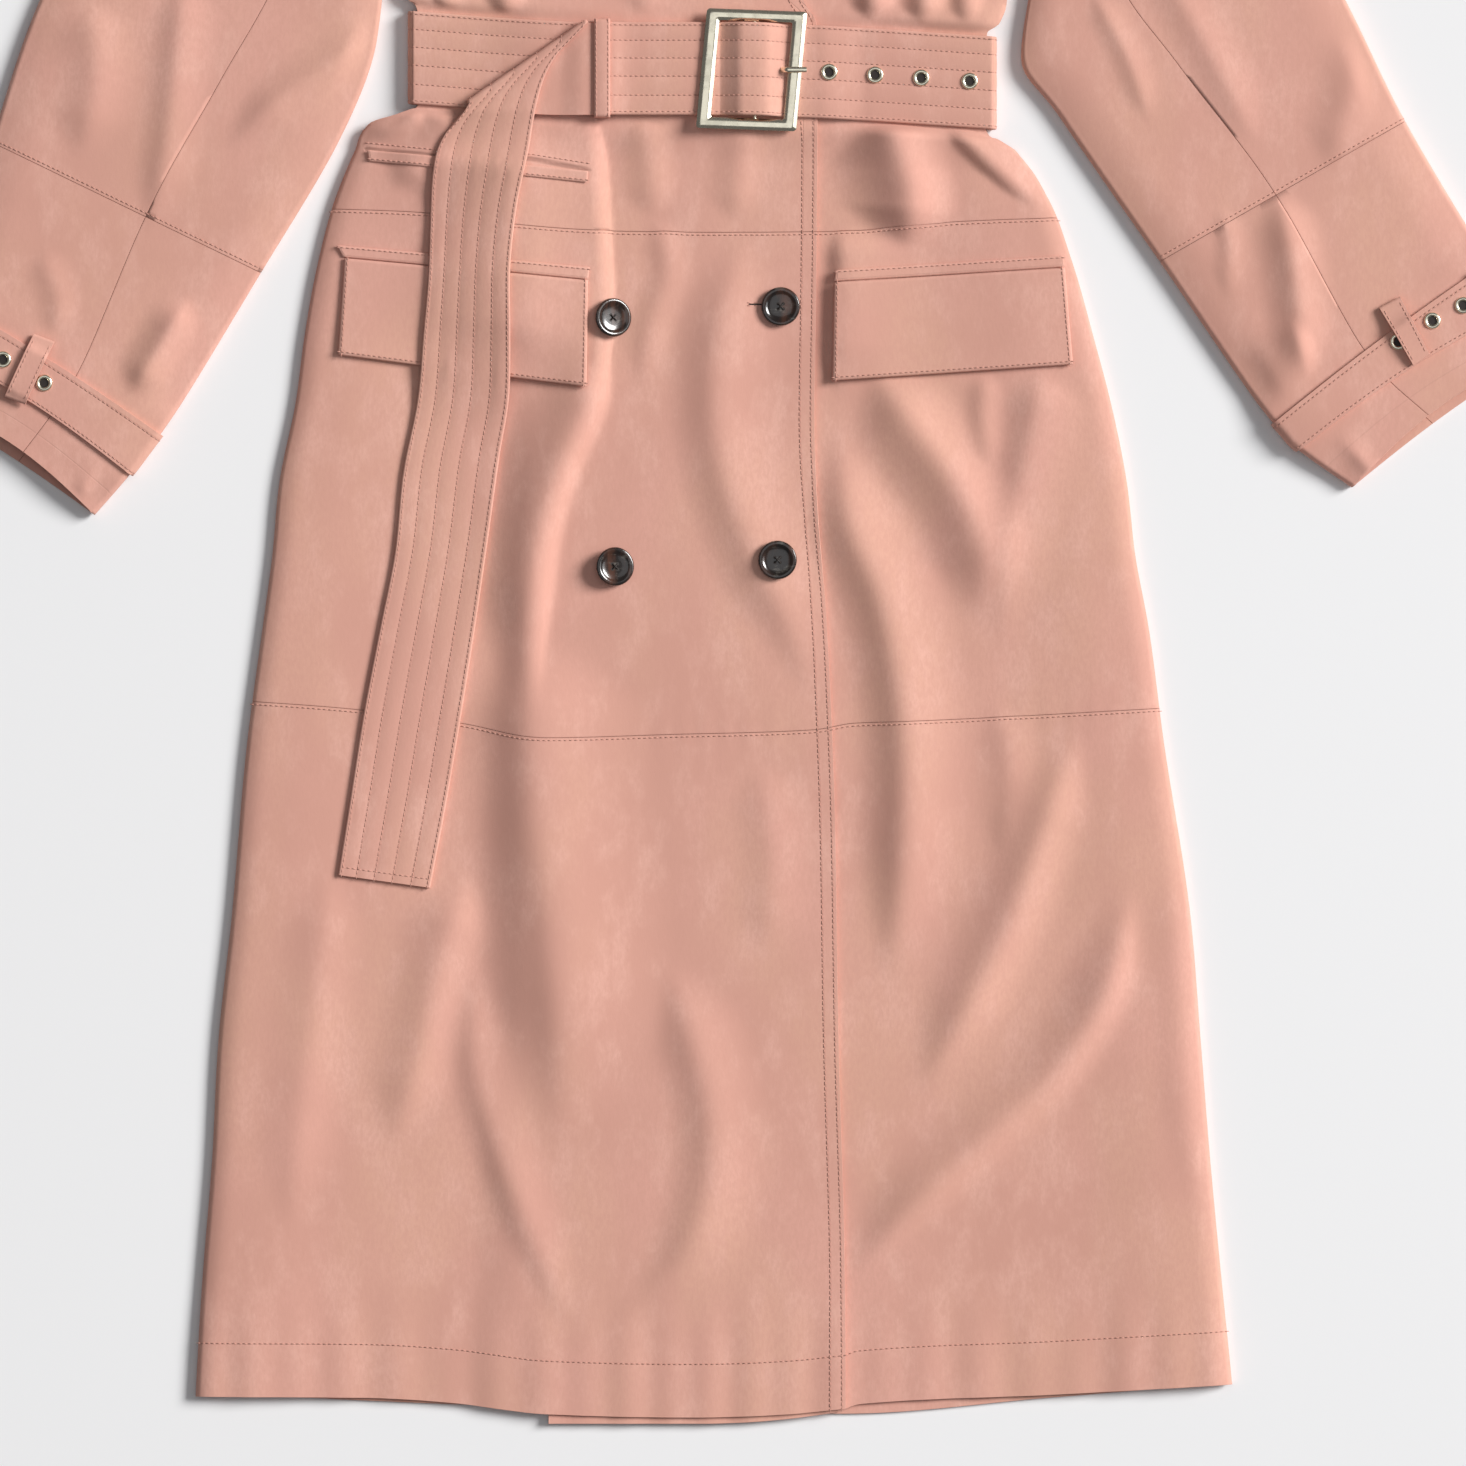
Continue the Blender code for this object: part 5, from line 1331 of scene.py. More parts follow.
@dataclass
class CoatBody:
    """Back and fronts in their three tiers, with the lapels and the collar."""

    shop: Workshop
    shape: CoatShape
    cell: float = 3.6                                  # mm between the points of a panel
    inner_lift: float = 0.5                            # of a front's inner side, clear of what lies below
    under_arm: float = 3.0                             # room beside the sleeve below the armhole
    belt_rows: tuple[float, ...] = (43, 31, 12, -10, -31, -43)      # rows that follow the belt's middle line
    bodice_rows: int = 140
    first_sewn: int = 62                               # row of the bodice where its edge stitching starts
    edge_stitch: tuple[float, float] = (2.4, 9.2)      # rows beside the front edge
    least_width: tuple[float, float] = (5, 19)         # of a lapel that still takes each of these rows
    seam_stitch: float = 1.7                           # row below a seam
    hem_depth: float = 33.0
    turned: float = 1.6                                # wall of the lapels and the collar

    def build(self) -> None:
        """All the body's panels."""
        self._backs()
        self._fronts()
        self._sew_fronts()
        self._lapels()
        self._collar()

    def _finish(self, name: str) -> SuedeFinish:
        """Finish of a front panel, with painted shade along its sunken seams and stitched lines, and on the
        bodice a painted shadow in the ticket pocket's opening.

        Args:
            name: name of the piece.

        Returns:
            The finish.
        """
        # painted shade along the sunken seams and stitched rows
        grooves = [Groove("to_seam", 0.0, 0.9, 0.14), Groove("to_seam", -self.seam_stitch, 0.7, 0.10)]
        if "right_front" in name:
            grooves += [Groove("to_edge", offset, 0.8, 0.4) for offset in self.edge_stitch]
        if "lower" in name:
            grooves += [Groove("to_hem", self.hem_depth, 0.8, 0.3)]
        if name == "right_front_bodice":
            # painted shadow in the ticket pocket's opening, cast by the cloth above it
            grooves += [Groove("to_slit", 0.0, 2.2, 1.6)]
        return SuedeFinish("suede_" + name, grooves=tuple(grooves))

    def _high_rows(self, cols: int, front: str) -> list[Array]:
        """Rows of a front above the belt, from the shoulder down.

        Args:
            cols: points in a row.
            front: "right" or "left".

        Returns:
            x and y of each row.
        """
        stations = SLEEVES[front]
        rows = []
        share = np.linspace(0, 1, cols)
        for roll, on_arm in zip(reversed(ROLL_LINES[1:]), ARM_SHARES + [None]):
            if on_arm is None:
                side = self.shape.side_left if front == "right" else self.shape.side_right
                under = stations[0].inner_x
                spot = np.array([0.5 * (float(side(51)) + under) - self.under_arm * np.sign(under), 77.0])
            else:
                spot = armhole(stations, on_arm)
            ends = [spot, np.array([getattr(roll, front), roll.y], float)]
            if front == "left":
                ends.reverse()
            rows.append(ends[0][:, None] + (ends[1] - ends[0])[:, None] * share)
        return rows

    def _low_rows(self, cols: int, left: Curve, right: Curve, offsets: Sequence[float]) -> list[Array]:
        """Rows that follow the belt and then go down to the hip seam.

        Args:
            cols: points in a row.
            left: the -X side.
            right: the +X side.
            offsets: distances of rows from the belt's middle line.

        Returns:
            x and y of each row.
        """
        curves: list[Curve] = [lambda x, o=o: self.shape.belt_line(x) + o for o in offsets]
        last = curves[-1]
        curves += [lambda x, k=k: last(x) + (self.shape.hip(x) + SEAM - last(x)) * (k + 1) / 3
                   for k in range(3)]
        return [np.array(self.shape.between(left, right, curve, np.linspace(0, 1, cols))) for curve in curves]

    def _panel(self, name: str, x: Array, y: Array, *rests_on: str) -> None:
        """One front panel.

        Args:
            name: name of the piece.
            x: its points across the coat.
            y: its points along it.
            rests_on: the pieces that it lies on.
        """
        shape = self.shape
        right = "right" in name
        layer = STACK * ease((x - shape.left_roll(y) + 50) / 32) if right else 0.0     # over the left front
        top, bottom = shape.layers(x, y, layer + CLOTH, layer + self.inner_lift)
        hip, knee = y - shape.hip(x), y - shape.knee(x)
        seam = np.where(np.abs(hip) < np.abs(knee), hip, knee)
        hem = shape.right_hem if right else shape.left_hem
        values = {"to_seam": np.where(np.abs(seam) < 40, seam, 40.0), "to_hem": y - hem(x),
                  "to_edge": shape.right_roll(y) - x}
        if name == "right_front_bodice":
            past = np.maximum(np.maximum(SLIT[0].x - x, x - SLIT[-1].x), 0)
            values["to_slit"] = np.hypot(y - ticket_slit(x), past)
        self.shop.cloth(name, top, bottom, self._finish(name), rests_on=rests_on, **values)

    def _fronts(self) -> None:
        """Both fronts, the right one over the left."""
        shape = self.shape
        cols = int(380 / self.cell)
        for front, hem in (("left", shape.left_hem), ("right", shape.right_hem)):
            sides = shape.sides(front)
            tiers = {"middle": (330, lambda x: shape.hip(x) - SEAM, lambda x: shape.knee(x) + SEAM),
                     "lower": (430, lambda x: shape.knee(x) - SEAM, hem)}
            for tier, (depth, upper, lower) in tiers.items():
                x, y = shape.lattice(sides, upper, lower, int(depth / self.cell), cols)
                below = ("left_front_" + tier,) if front == "right" else ()
                self._panel(f"{front}_front_{tier}", x, y, "back_" + tier, *below)
            rows = self._high_rows(84, front) + self._low_rows(84, *sides, self.belt_rows)
            x, y = refine(np.array(rows), self.bodice_rows).swapaxes(0, 1)
            self._panel(f"{front}_front_bodice", x, y, "back_bodice")

    def _sew_fronts(self) -> None:
        """Stitching beside the front edge, below the seams and above the hem."""
        grids, thread = self.shop.grids, self.shop.thread
        for tier, first in (("middle", 0), ("lower", 0), ("bodice", self.first_sewn)):
            grid = grids["right_front_" + tier][first:]
            width = grid[:, -1, 0] - grid[:, 0, 0]
            for offset in self.edge_stitch:
                thread.add(column_at(grid, 1 - offset / width))
        for front in ("right", "left"):
            lower, middle = grids[f"{front}_front_lower"], grids[f"{front}_front_middle"]
            height = lower[0, :, 1] - lower[-1, :, 1]
            thread.add(row_at(lower, 1 - self.hem_depth / height))
            thread.add(row_at(lower, self.seam_stitch / height))
            thread.add(row_at(middle, self.seam_stitch / (middle[0, :, 1] - middle[-1, :, 1])))

    def _back(self, tier: str, x: Array, y: Array) -> None:
        """One back panel, flat but for the belt under it.

        Args:
            tier: "bodice", "middle" or "lower".
            x: its points across the coat.
            y: its points along it.
        """
        lift = self.shape.belt_lift(x, y)
        # painted shade along the stitched hem line
        finish = SuedeFinish("suede_back_" + tier, grooves=(Groove("to_hem", self.hem_depth, 0.8, 0.5),))
        self.shop.cloth("back_" + tier, stack(x, y, CLOTH + lift), stack(x, y, lift), finish,
                        to_hem=y - self.shape.back_hem(x))

    def _backs(self) -> None:
        """The back in its three tiers, its neck dipped between the roll lines."""
        shape = self.shape
        sides = (shape.side_left, shape.side_right)
        self._back("lower", *shape.lattice(sides, lambda x: shape.knee(x) - SEAM, shape.back_hem, 60, 70))
        self._back("middle", *shape.lattice(sides, lambda x: shape.hip(x) - SEAM,
                                            lambda x: shape.knee(x) + SEAM, 50, 70))
        share = np.linspace(0, 1, 90)
        high = [own[:, :1] + (other[:, 1:] - own[:, :1]) * share
                for own, other in zip(self._high_rows(2, "right"), self._high_rows(2, "left"))]
        neck, x, y = ROLL_LINES[-1], high[0][0], high[0][1]
        middle = (neck.right + neck.left) / 2
        knots = [x[0], 0.6 * x[0] + 0.4 * neck.right, neck.right, middle - 25, middle + 25, neck.left,
                 0.6 * x[-1] + 0.4 * neck.left, x[-1]]
        tops = [y[0], 0.6 * y[0] + 0.4 * neck.y, neck.y, neck.y - NECK_DIP, neck.y - NECK_DIP, neck.y,
                0.6 * y[-1] + 0.4 * neck.y, y[-1]]
        high[0] = np.array([x, np.interp(x, knots, tops)])
        rows = np.array(high + self._low_rows(90, *sides, [43, 31, -31, -43]))
        self._back("bodice", *refine(rows, 110).swapaxes(0, 1))

    def _turned(self, name: str, x: Array, y: Array, z: Array, width: Array, *rests_on: str) -> None:
        """Lapel or collar, with two stitched rows inside its outer edge.

        Args:
            name: name of the piece.
            x: its points across the coat, from its roll line to its outer edge.
            y: its points along it.
            z: their heights.
            width: distance in mm from the roll line to the edge at each row.
            rests_on: the pieces that it lies on.
        """
        grid = stack(x, y, z)
        top = grid + (0, 0, self.turned)
        # painted shade along the two stitched rows inside the edge
        grooves = tuple(Groove("to_edge", offset, 0.8, 0.5) for offset in self.edge_stitch)
        self.shop.cloth(name, top, grid, SuedeFinish("suede_" + name, grooves=grooves), rests_on=rests_on,
                        to_edge=(1 - np.linspace(0, 1, x.shape[1])) * width)
        for offset, least in zip(self.edge_stitch, self.least_width):
            self.shop.thread.add(column_at(top, 1 - offset / np.maximum(width[:, 0], least)))

    def _lapels(self) -> None:
        """Lapels folded back along their roll lines, which stand off a little."""
        reach, drop = of_rows(LAPEL, "y", "reach"), of_rows(LAPEL, "y", "drop")
        roll_y = np.linspace(LAPEL[0].y, LAPEL[-1].y, 64)[:, None]
        share = np.linspace(0, 1, 30)[None, :]
        for side, roll, outwards in (("left", self.shape.left_roll, 1), ("right", self.shape.right_roll, -1)):
            x = roll(roll_y) + outwards * reach(roll_y) * share
            y = roll_y - drop(roll_y) * share
            below = ["back_bodice", "left_front_bodice"]
            if side == "right":
                below += ["left_lapel", "right_front_bodice"]
            floor = self.shop.ground(*below).heights(x, y) + GAP
            z = settle(floor, 60) + 1.4 * np.exp(-share * reach(roll_y) / 9)
            self._turned(f"{side}_lapel", x, y, z, reach(roll_y), f"{side}_front_bodice")

    def _collar(self) -> None:
        """Collar round the neck."""
        middle = (ROLL_LINES[-1].right + ROLL_LINES[-1].left) / 2
        rows = [(-c.inner_x, c.inner_y, -c.outer_x, c.outer_y, c.lift) for c in COLLAR] + COLLAR[-2::-1]
        inner_x, inner_y, outer_x, outer_y, lift = refine(np.array(rows), 90).T[..., None]
        share = np.linspace(0, 1, 26)[None, :]
        x = middle + inner_x + (outer_x - inner_x) * share
        y = inner_y + (outer_y - inner_y) * share
        ground = self.shop.ground("back_bodice", "left_front_bodice", "right_front_bodice", "left_lapel",
                                  "right_lapel")
        z = settle(np.maximum(ground.heights(x, y) + GAP, lift), 40)
        width = np.hypot(outer_x - inner_x, outer_y - inner_y)
        self._turned("collar", x, y, z, width, "right_lapel", "left_lapel")


# ---------------------------------------------------------------- pockets and buttons
SLIT = [Run(-206, -49.6), Run(-163, -54.2), Run(-105, -57.0), Run(-69, -62.6)]     # the ticket pocket's opening


def ticket_slit(x: Array) -> Array:
    """Y of the ticket pocket's opening."""
    return np.interp(x, [r.x for r in SLIT], [r.y for r in SLIT])


class Strip(NamedTuple):
    """Flap or welt between four corners, from the top left round to the bottom left."""

    name: str
    corners: tuple[tuple[float, float], ...]
    rows: int
    thick: float
    hang: float
    under: str


STRIPS = [
    Strip("right_pocket_welt", ((-225, -109), (-68, -123), (-69, -130.4), (-221, -116.4)), 6, 1.2, 0,
          "right_front_middle"),
    Strip("left_pocket_welt", ((84, -124.5), (225, -115.5), (226, -122.4), (83, -131.4)), 6, 1.2, 0,
          "left_front_middle"),
    Strip("ticket_pocket_welt", ((-206, -50), (-69, -63.5), (-69.5, -70.5), (-205, -57)), 6, 1.2, 0,
          "right_front_bodice"),
    Strip("right_pocket_flap", ((-220, -117), (-69, -131), (-70, -197), (-224, -177)), 30, 2.0, 1.2,
          "right_front_middle"),
    Strip("left_pocket_flap", ((83, -132), (226, -123), (231, -183), (82, -193)), 30, 2.0, 1.2,
          "left_front_middle"),
]
FRONT_PIECES = ("right_front_bodice", "right_front_middle", "right_front_lower",
                "left_front_bodice", "left_front_middle", "left_front_lower")


@dataclass
class Pockets:
    """Flaps and welts laid on the fronts."""

    shop: Workshop
    columns: int = 70
    flap_stitch: float = 2.0        # rows beside a flap's edges
    welt_row: float = 0.18          # share of a welt's depth at which it is sewn
    ticket_row: float = 0.8
    slit_stitch: float = 4.0        # row above the ticket pocket's opening

    def build(self) -> None:
        """Every flap and welt."""
        for strip in STRIPS:
            self._strip(strip)
        across = np.linspace(SLIT[0].x, SLIT[-1].x, 60)
        self.shop.sew("right_front_bodice", across, ticket_slit(across) + self.slit_stitch)

    def _strip(self, strip: Strip) -> None:
        """One flap or welt.

        Args:
            strip: its row of the table.
        """
        spots, v, u = patch(strip.corners, strip.rows, self.columns)
        x, y = spots[..., 0], spots[..., 1]
        z = settle(self.shop.ground(*FRONT_PIECES).heights(x, y) + GAP, 40) + strip.hang * v ** 2
        grid = stack(x, y, z)
        top = grid + (0, 0, strip.thick)
        corners = np.array(strip.corners, float)
        wide, deep = np.linalg.norm(corners[1] - corners[0]), np.linalg.norm(corners[3] - corners[0])
        flap = "flap" in strip.name
        # painted shade along the stitched row of a flap or welt
        groove = Groove("to_rim", self.flap_stitch, 0.7, 0.35) if flap else Groove("to_rim", 1.2, 0.6, 0.3)
        self.shop.cloth(strip.name, top, grid, SuedeFinish("suede_" + strip.name, grooves=(groove,)),
                        rests_on=[strip.under], rim=0.6,
                        to_rim=np.minimum(np.minimum(u, 1 - u) * wide, (1 - v) * deep))
        thread = self.shop.thread
        if flap:
            thread.add(row_at(top, 1 - self.flap_stitch / deep))
            thread.add(column_at(top, self.flap_stitch / wide))
            thread.add(column_at(top, 1 - self.flap_stitch / wide))
        else:
            thread.add(row_at(top, self.ticket_row if "ticket" in strip.name else self.welt_row))


class ButtonSpot(NamedTuple):
    """Place and tilt of a button."""

    name: str
    x: float
    y: float
    tilt_x: float
    tilt_y: float


BUTTONS = [
    ButtonSpot("button_top_right", -64, 120, 0, 0), ButtonSpot("button_top_left", 52, 120, 0, 0),
    ButtonSpot("button_middle_right", -54.5, -154, 0.45, 0), ButtonSpot("button_middle_left", 50, -147, 0, 0),
    ButtonSpot("button_low_right", -53, -308, 0.25, 0), ButtonSpot("button_low_left", 48, -304, 0, 0),
]


@dataclass
class Buttons:
    """Dished horn buttons with four holes, sewn on with thread."""

    shop: Workshop
    radius: float = 12.0
    thick: float = 3.6
    foot: float = 9.0                # radius of the flat that the button lies on
    hole_radius: float = 1.0
    hole_ring: float = 2.3
    hole_depth: float = 1.32         # of the dish's floor below the rim
    strand: float = 0.42             # radius of the thread between two holes
    strand_bow: float = 0.9
    buttonhole: tuple[float, float, float] = (30.5, 39.5, -145.6)     # its two ends' x, and its y
    buttonhole_stitch: float = 0.9   # rows on both sides of it

    def build(self) -> None:
        """Every button, and the buttonhole that shows beside one."""
        for spot in BUTTONS:
            self._button(spot)
        start, end, y = self.buttonhole
        x, line = np.linspace(start, end, 12), np.full(12, y)
        z = self.shop.ground("right_front_middle").heights(x, line)
        # dark line along the buttonhole's slit: painted shade of the opening
        hole = tube("buttonhole", stack(x, line, z + 0.1), 0.35, self.shop.dark_thread, widen=1.3)
        self.shop.keep(hole, Slot.HORN)
        for offset in (-self.buttonhole_stitch, self.buttonhole_stitch):
            self.shop.sew("right_front_middle", x, line + offset)

    def _button(self, spot: ButtonSpot) -> None:
        """One button, lying square on the cloth below it.

        Args:
            spot: its row of the table.
        """
        normal = Vector((spot.tilt_x, spot.tilt_y, 1)).normalized()
        turn = Vector((0, 0, 1)).rotation_difference(normal).to_matrix()
        ring = [turn @ Vector((r * cos(pi * k / 12), r * sin(pi * k / 12), h))
                for r, h in ((self.radius, 1.4), (9.5, 0), (5, 0)) for k in range(24)]
        spots = np.array([tuple(p) for p in ring]) + (spot.x, spot.y, 0)
        ground = self.shop.ground(*FRONT_PIECES, "left_lapel", "right_pocket_flap")
        z = float((ground.heights(spots[:, 0], spots[:, 1]) + GAP - spots[:, 2]).max())
        r, t = self.radius, self.thick
        profile = [(0, 0), (self.foot, 0), (10.6, 0.5), (r - 0.2, 1.5), (r, 2.2), (r - 0.2, t - 0.5),
                   (r - 0.8, t - 0.05), (r - 1.6, t), (r - 2.6, t - 0.15), (r - 3.4, t - 0.7),
                   (r - 4.4, t - 1.15), (4.4, t - 1.3), (0, t - 1.35)]
        button = lathe(spot.name, profile, (spot.x, spot.y, z), normal, self.shop.horn, 56)
        self.shop.keep(button, Slot.HORN, spot.name)
        holes = [np.array(turn @ Vector((a, b, t - self.hole_depth))) + (spot.x, spot.y, z)
                 for a, b in arc(0, 0, self.hole_ring, (45, 135, 225, 315))]
        # dark discs in the four holes: the dark thread through them, with painted shade in the holes
        pit = [(0, -0.6), (self.hole_radius, -0.6), (self.hole_radius, 0.06), (0, 0.08)]
        sewn = [lathe(f"{spot.name}_hole_{k}", pit, hole, normal, self.shop.dark_thread, 14)
                for k, hole in enumerate(holes)]
        share = np.linspace(0, 1, 9)[:, None]
        for a, b in ((0, 2), (1, 3)):
            bow = np.array(normal) * (self.strand_bow * np.sin(pi * share))
            path = holes[a] * (1 - share) + holes[b] * share + bow
            sewn.append(tube(f"{spot.name}_strand_{a}", path, self.strand, self.shop.dark_thread))
        self.shop.keep(join_objects(sewn, spot.name + "_thread"), Slot.HORN)


# ---------------------------------------------------------------- belt
class TailRow(NamedTuple):
    """One row across the belt's end, from its right to its left edge."""

    right_x: float
    right_y: float
    left_x: float
    left_y: float


TAIL_UNDER = [      # from the keeper to the fold, fanning round its upper corner
    TailRow(-62.5, 28.4, -62.5, -28.9), TailRow(-63.9, 28.3, -79, -29), TailRow(-65.2, 28.2, -96, -28.7),
    TailRow(-66.4, 28.1, -112, -27.5), TailRow(-67.6, 28.0, -128, -25.5),
]
TAIL_FOLD = TailRow(-69.0, 28.4, -143, -22)
TAIL_HANG = [
    TailRow(-76, 21, -146, -27), TailRow(-87, 10, -152, -34), TailRow(-96, -6, -158, -41),
    TailRow(-102, -28, -163, -52), TailRow(-106, -52, -166, -70), TailRow(-113, -86, -167, -96),
    TailRow(-117, -123, -168, -128), TailRow(-117, -162, -171, -162), TailRow(-118, -203, -175, -205),
    TailRow(-124, -240, -184, -250), TailRow(-131, -290, -189, -299), TailRow(-139, -345, -198, -345),
    TailRow(-148, -402, -208, -397), TailRow(-157, -455, -216, -448), TailRow(-167, -507, -224, -499),
]


@dataclass
class Belt:
    """Wide stitched belt: strap, keeper, buckle, eyelets and hanging end."""

    shop: Workshop
    shape: CoatShape
    width: float = 57.5
    thick: float = 2.2
    rows: tuple[float, ...] = (-26.8, -16.6, -4.8, 6.4, 17.4, 26.8)   # stitch rows from the middle line
    puff: float = 0.35                                           # height of the channels between them
    columns: int = 47
    base: Colour = (0.670, 0.345, 0.275)
    bar: tuple[float, float, float] = (34.0, 13.1, 1.2)          # centre bar: x, z, radius
    bar_half: float = 31.5
    keeper_x: tuple[float, float] = (-65.4, -55.4)
    keeper_z: tuple[float, float] = (10.9, 16.2)                 # room inside the keeper
    keeper_wall: float = 1.5
    eyelets_x: tuple[float, ...] = (80.0, 108.5, 137.0, 167.0)
    eyelets_z: tuple[float, float] = (11.75, 9.45)               # strap's top up to x = 90, and past it
    prong_x: float = 51.0                                        # hole that the prong is in
    tail_start: float = -62.5
    fold_radius: float = 1.4
    slope: float = 0.2
    frame_turn: float = -1.9                                     # degrees
    lean: float = 0.06             # share by which the frame leans over, as the photo shows it

    def build(self) -> None:
        """Every piece of the belt."""
        self._strap()
        self._tail()
        self._keeper()
        self._buckle()
        spots = [(x, float(self.shape.belt_line(np.array(x))), self.eyelets_z[x > 90]) for x in self.eyelets_x]
        Eyelets(self.shop, "belt", spots).build()

    def _sheet(self, name: str, top: Array, bottom: Array, across: Array, *rests_on: str) -> None:
        """Strap or end of the belt, with painted shade along each sunken stitch row.

        Args:
            name: name of the piece.
            top: the outer grid of points.
            bottom: the inner grid.
            across: distance of each column from the middle line.
            rests_on: the pieces that it lies on.
        """
        # painted shade along each sunken stitch row
        grooves = tuple(Groove("across", row, 0.8, 0.18) for row in self.rows)
        finish = SuedeFinish("suede_" + name, base=self.base, grooves=grooves)
        self.shop.cloth(name, top, bottom, finish, Slot.BELT, rests_on, across=across)

    def _puffed(self, across: Array) -> Array:
        """Height of the padded channels between the stitch rows.

        Args:
            across: distances from the middle line.

        Returns:
            The height in mm at each distance.
        """
        edges = np.array((-self.width / 2,) + self.rows + (self.width / 2,))
        i = np.clip(np.searchsorted(edges, across) - 1, 0, len(edges) - 2)
        u = (across - edges[i]) / (edges[i + 1] - edges[i])
        return self.puff * (4 * u * (1 - u)) ** 0.7

    def _path(self) -> Array:
        """Middle line of the strap seen along Y, as x and z: from the bar round the back to the keeper."""
        bar_x, bar_z, bar_radius = self.bar
        wrap = bar_radius + GAP + self.thick / 2
        under = self.thick / 2
        side = (8.2 - under) / 2
        path = [(27.5, bar_z + wrap)] + arc(bar_x, bar_z, wrap, np.linspace(90, -90, 9))
        path += [(x, bar_z - wrap) for x in (22, 0, -22, -45)]
        path += [(-53.5, 12.3), (-66.8, 12.3), (-73.5, 10.5), (-100, 10.5), (-132, 8.2), (-160, 8.2)]
        path += arc(-176.2, under + side, side, np.linspace(90, 270, 9))
        path += [(x, under) for x in (-140, -90, -40, 10, 60, 110, 150)]
        path += arc(179.2, under + side, side, np.linspace(-90, 90, 9))
        path += [(x, 8.2) for x in (167, 152, 137, 122, 108.5, 98)] + [(x, 10.5) for x in (80, 70, 60)]
        path += [(54.5, 10.6), (50, 12.0), (46, 14.6), (42, 17.2), (37, 18.3), (30, 18.4), (25, 18.0),
                 (20, 15.8), (13.5, 13.1), (10, 13.0), (-2, 13.0), (-22, 13.0), (-44, 13.0), (-54, 14.8),
                 (self.tail_start + 0.8, 14.8)]
        return np.array(path)

    def _strap(self) -> None:
        """The strap round the waist, sewn where it shows."""
        coarse = self._path()
        path = refine(coarse, 4 * len(coarse))
        across = np.linspace(-self.width / 2, self.width / 2, self.columns)
        direction = np.gradient(path, axis=0)
        direction /= np.linalg.norm(direction, axis=1, keepdims=True)
        x0, z0 = path[:, :1], path[:, 1:]
        reaches = ((1, self.thick / 2 - 0.2 + self._puffed(across)), (-1, self.thick / 2 - 0.1))
        top, bottom = (stack(x0 + side * direction[:, 1:] * reach, self.shape.belt_line(x0) + across,
                             np.maximum(z0 - side * direction[:, :1] * reach, 0.0))
                       for side, reach in reaches)
        self._sheet("belt_strap", top, bottom, across, "right_front_bodice", "left_front_bodice")
        for row in self.rows:
            line = column_at(top, row / self.width + 0.5)
            behind = np.flatnonzero(line[:, 2] < 3.0)
            for part in (line[20:behind[0]], line[behind[-1] + 1:]):
                self.shop.thread.add(part, 0.05)

    def _tail(self) -> None:
        """The belt's end: out of the keeper, folded over itself, hanging down the skirt."""
        share = np.linspace(0, 1, self.columns)

        def across_at(rows: Array) -> tuple[Array, Array]:
            """x and y of the points across each row."""
            return (rows[:, :1] + (rows[:, 2:3] - rows[:, :1]) * share,
                    rows[:, 1:2] + (rows[:, 3:4] - rows[:, 1:2]) * share)

        def under_z(x: Array) -> Array:
            """Height of the stretch below the fold."""
            return 13.1 + 1.7 * ease((x + 88) / 16)

        x, y = across_at(refine(np.array(TAIL_UNDER + [TAIL_FOLD]), 40))
        low = stack(x, y, under_z(x))
        along = np.array([TAIL_FOLD.left_x - TAIL_FOLD.right_x, TAIL_FOLD.left_y - TAIL_FOLD.right_y])
        outward = np.array([along[1], -along[0]]) / hypot(*along)
        bend = [low[-1] + (*(outward * self.fold_radius * cos(angle)), self.fold_radius * (1 + sin(angle)))
                for angle in radians(-90) + np.linspace(0, pi, 11)[1:]]
        x, y = across_at(refine(np.array([TAIL_FOLD] + TAIL_HANG), 150)[2:])
        below = FRONT_PIECES + tuple(s.name for s in STRIPS) + ("belt_strap",)
        floor = self.shop.ground(*below).heights(x, y) + 0.5 + self.thick / 2
        near = np.linalg.norm(np.stack([x, y], axis=-1) - low[-1, :, :2].mean(axis=0), axis=-1)
        folded = under_z(x) + 2 * self.fold_radius
        over_fold = (x > TAIL_FOLD.left_x - 6) & (y > -27) & (near < 60)
        floor = np.where(over_fold, np.maximum(floor, folded), floor)
        z = floor.copy()
        z[0] = np.maximum(z[0], folded[0])
        for r in range(1, len(z)):
            z[r] = np.maximum(z[r], z[r - 1] - self.slope * np.hypot(x[r] - x[r - 1], y[r] - y[r - 1]))
        middle = np.concatenate([low, np.array(bend), stack(x, y, settle(floor, 30, z))])
        normal = np.cross(np.gradient(middle, axis=0), np.gradient(middle, axis=1))
        normal /= np.linalg.norm(normal, axis=-1, keepdims=True)
        if normal[-40:, :, 2].mean() < 0:
            normal = -normal
        across = (share - 0.5) * self.width
        top = middle + normal * (self.thick / 2 - 0.2 + self._puffed(across)[:, None])
        self._sheet("belt_tail", top, middle - normal * (self.thick / 2), across, "belt_strap",
                    "right_front_bodice", "right_pocket_flap", "right_front_middle", "right_front_lower")
        for row in self.rows:
            self.shop.thread.add(column_at(top[len(low) + 6:], row / self.width + 0.5), 0.05)
        self.shop.thread.add(top[-2, 2:-2], 0.05)

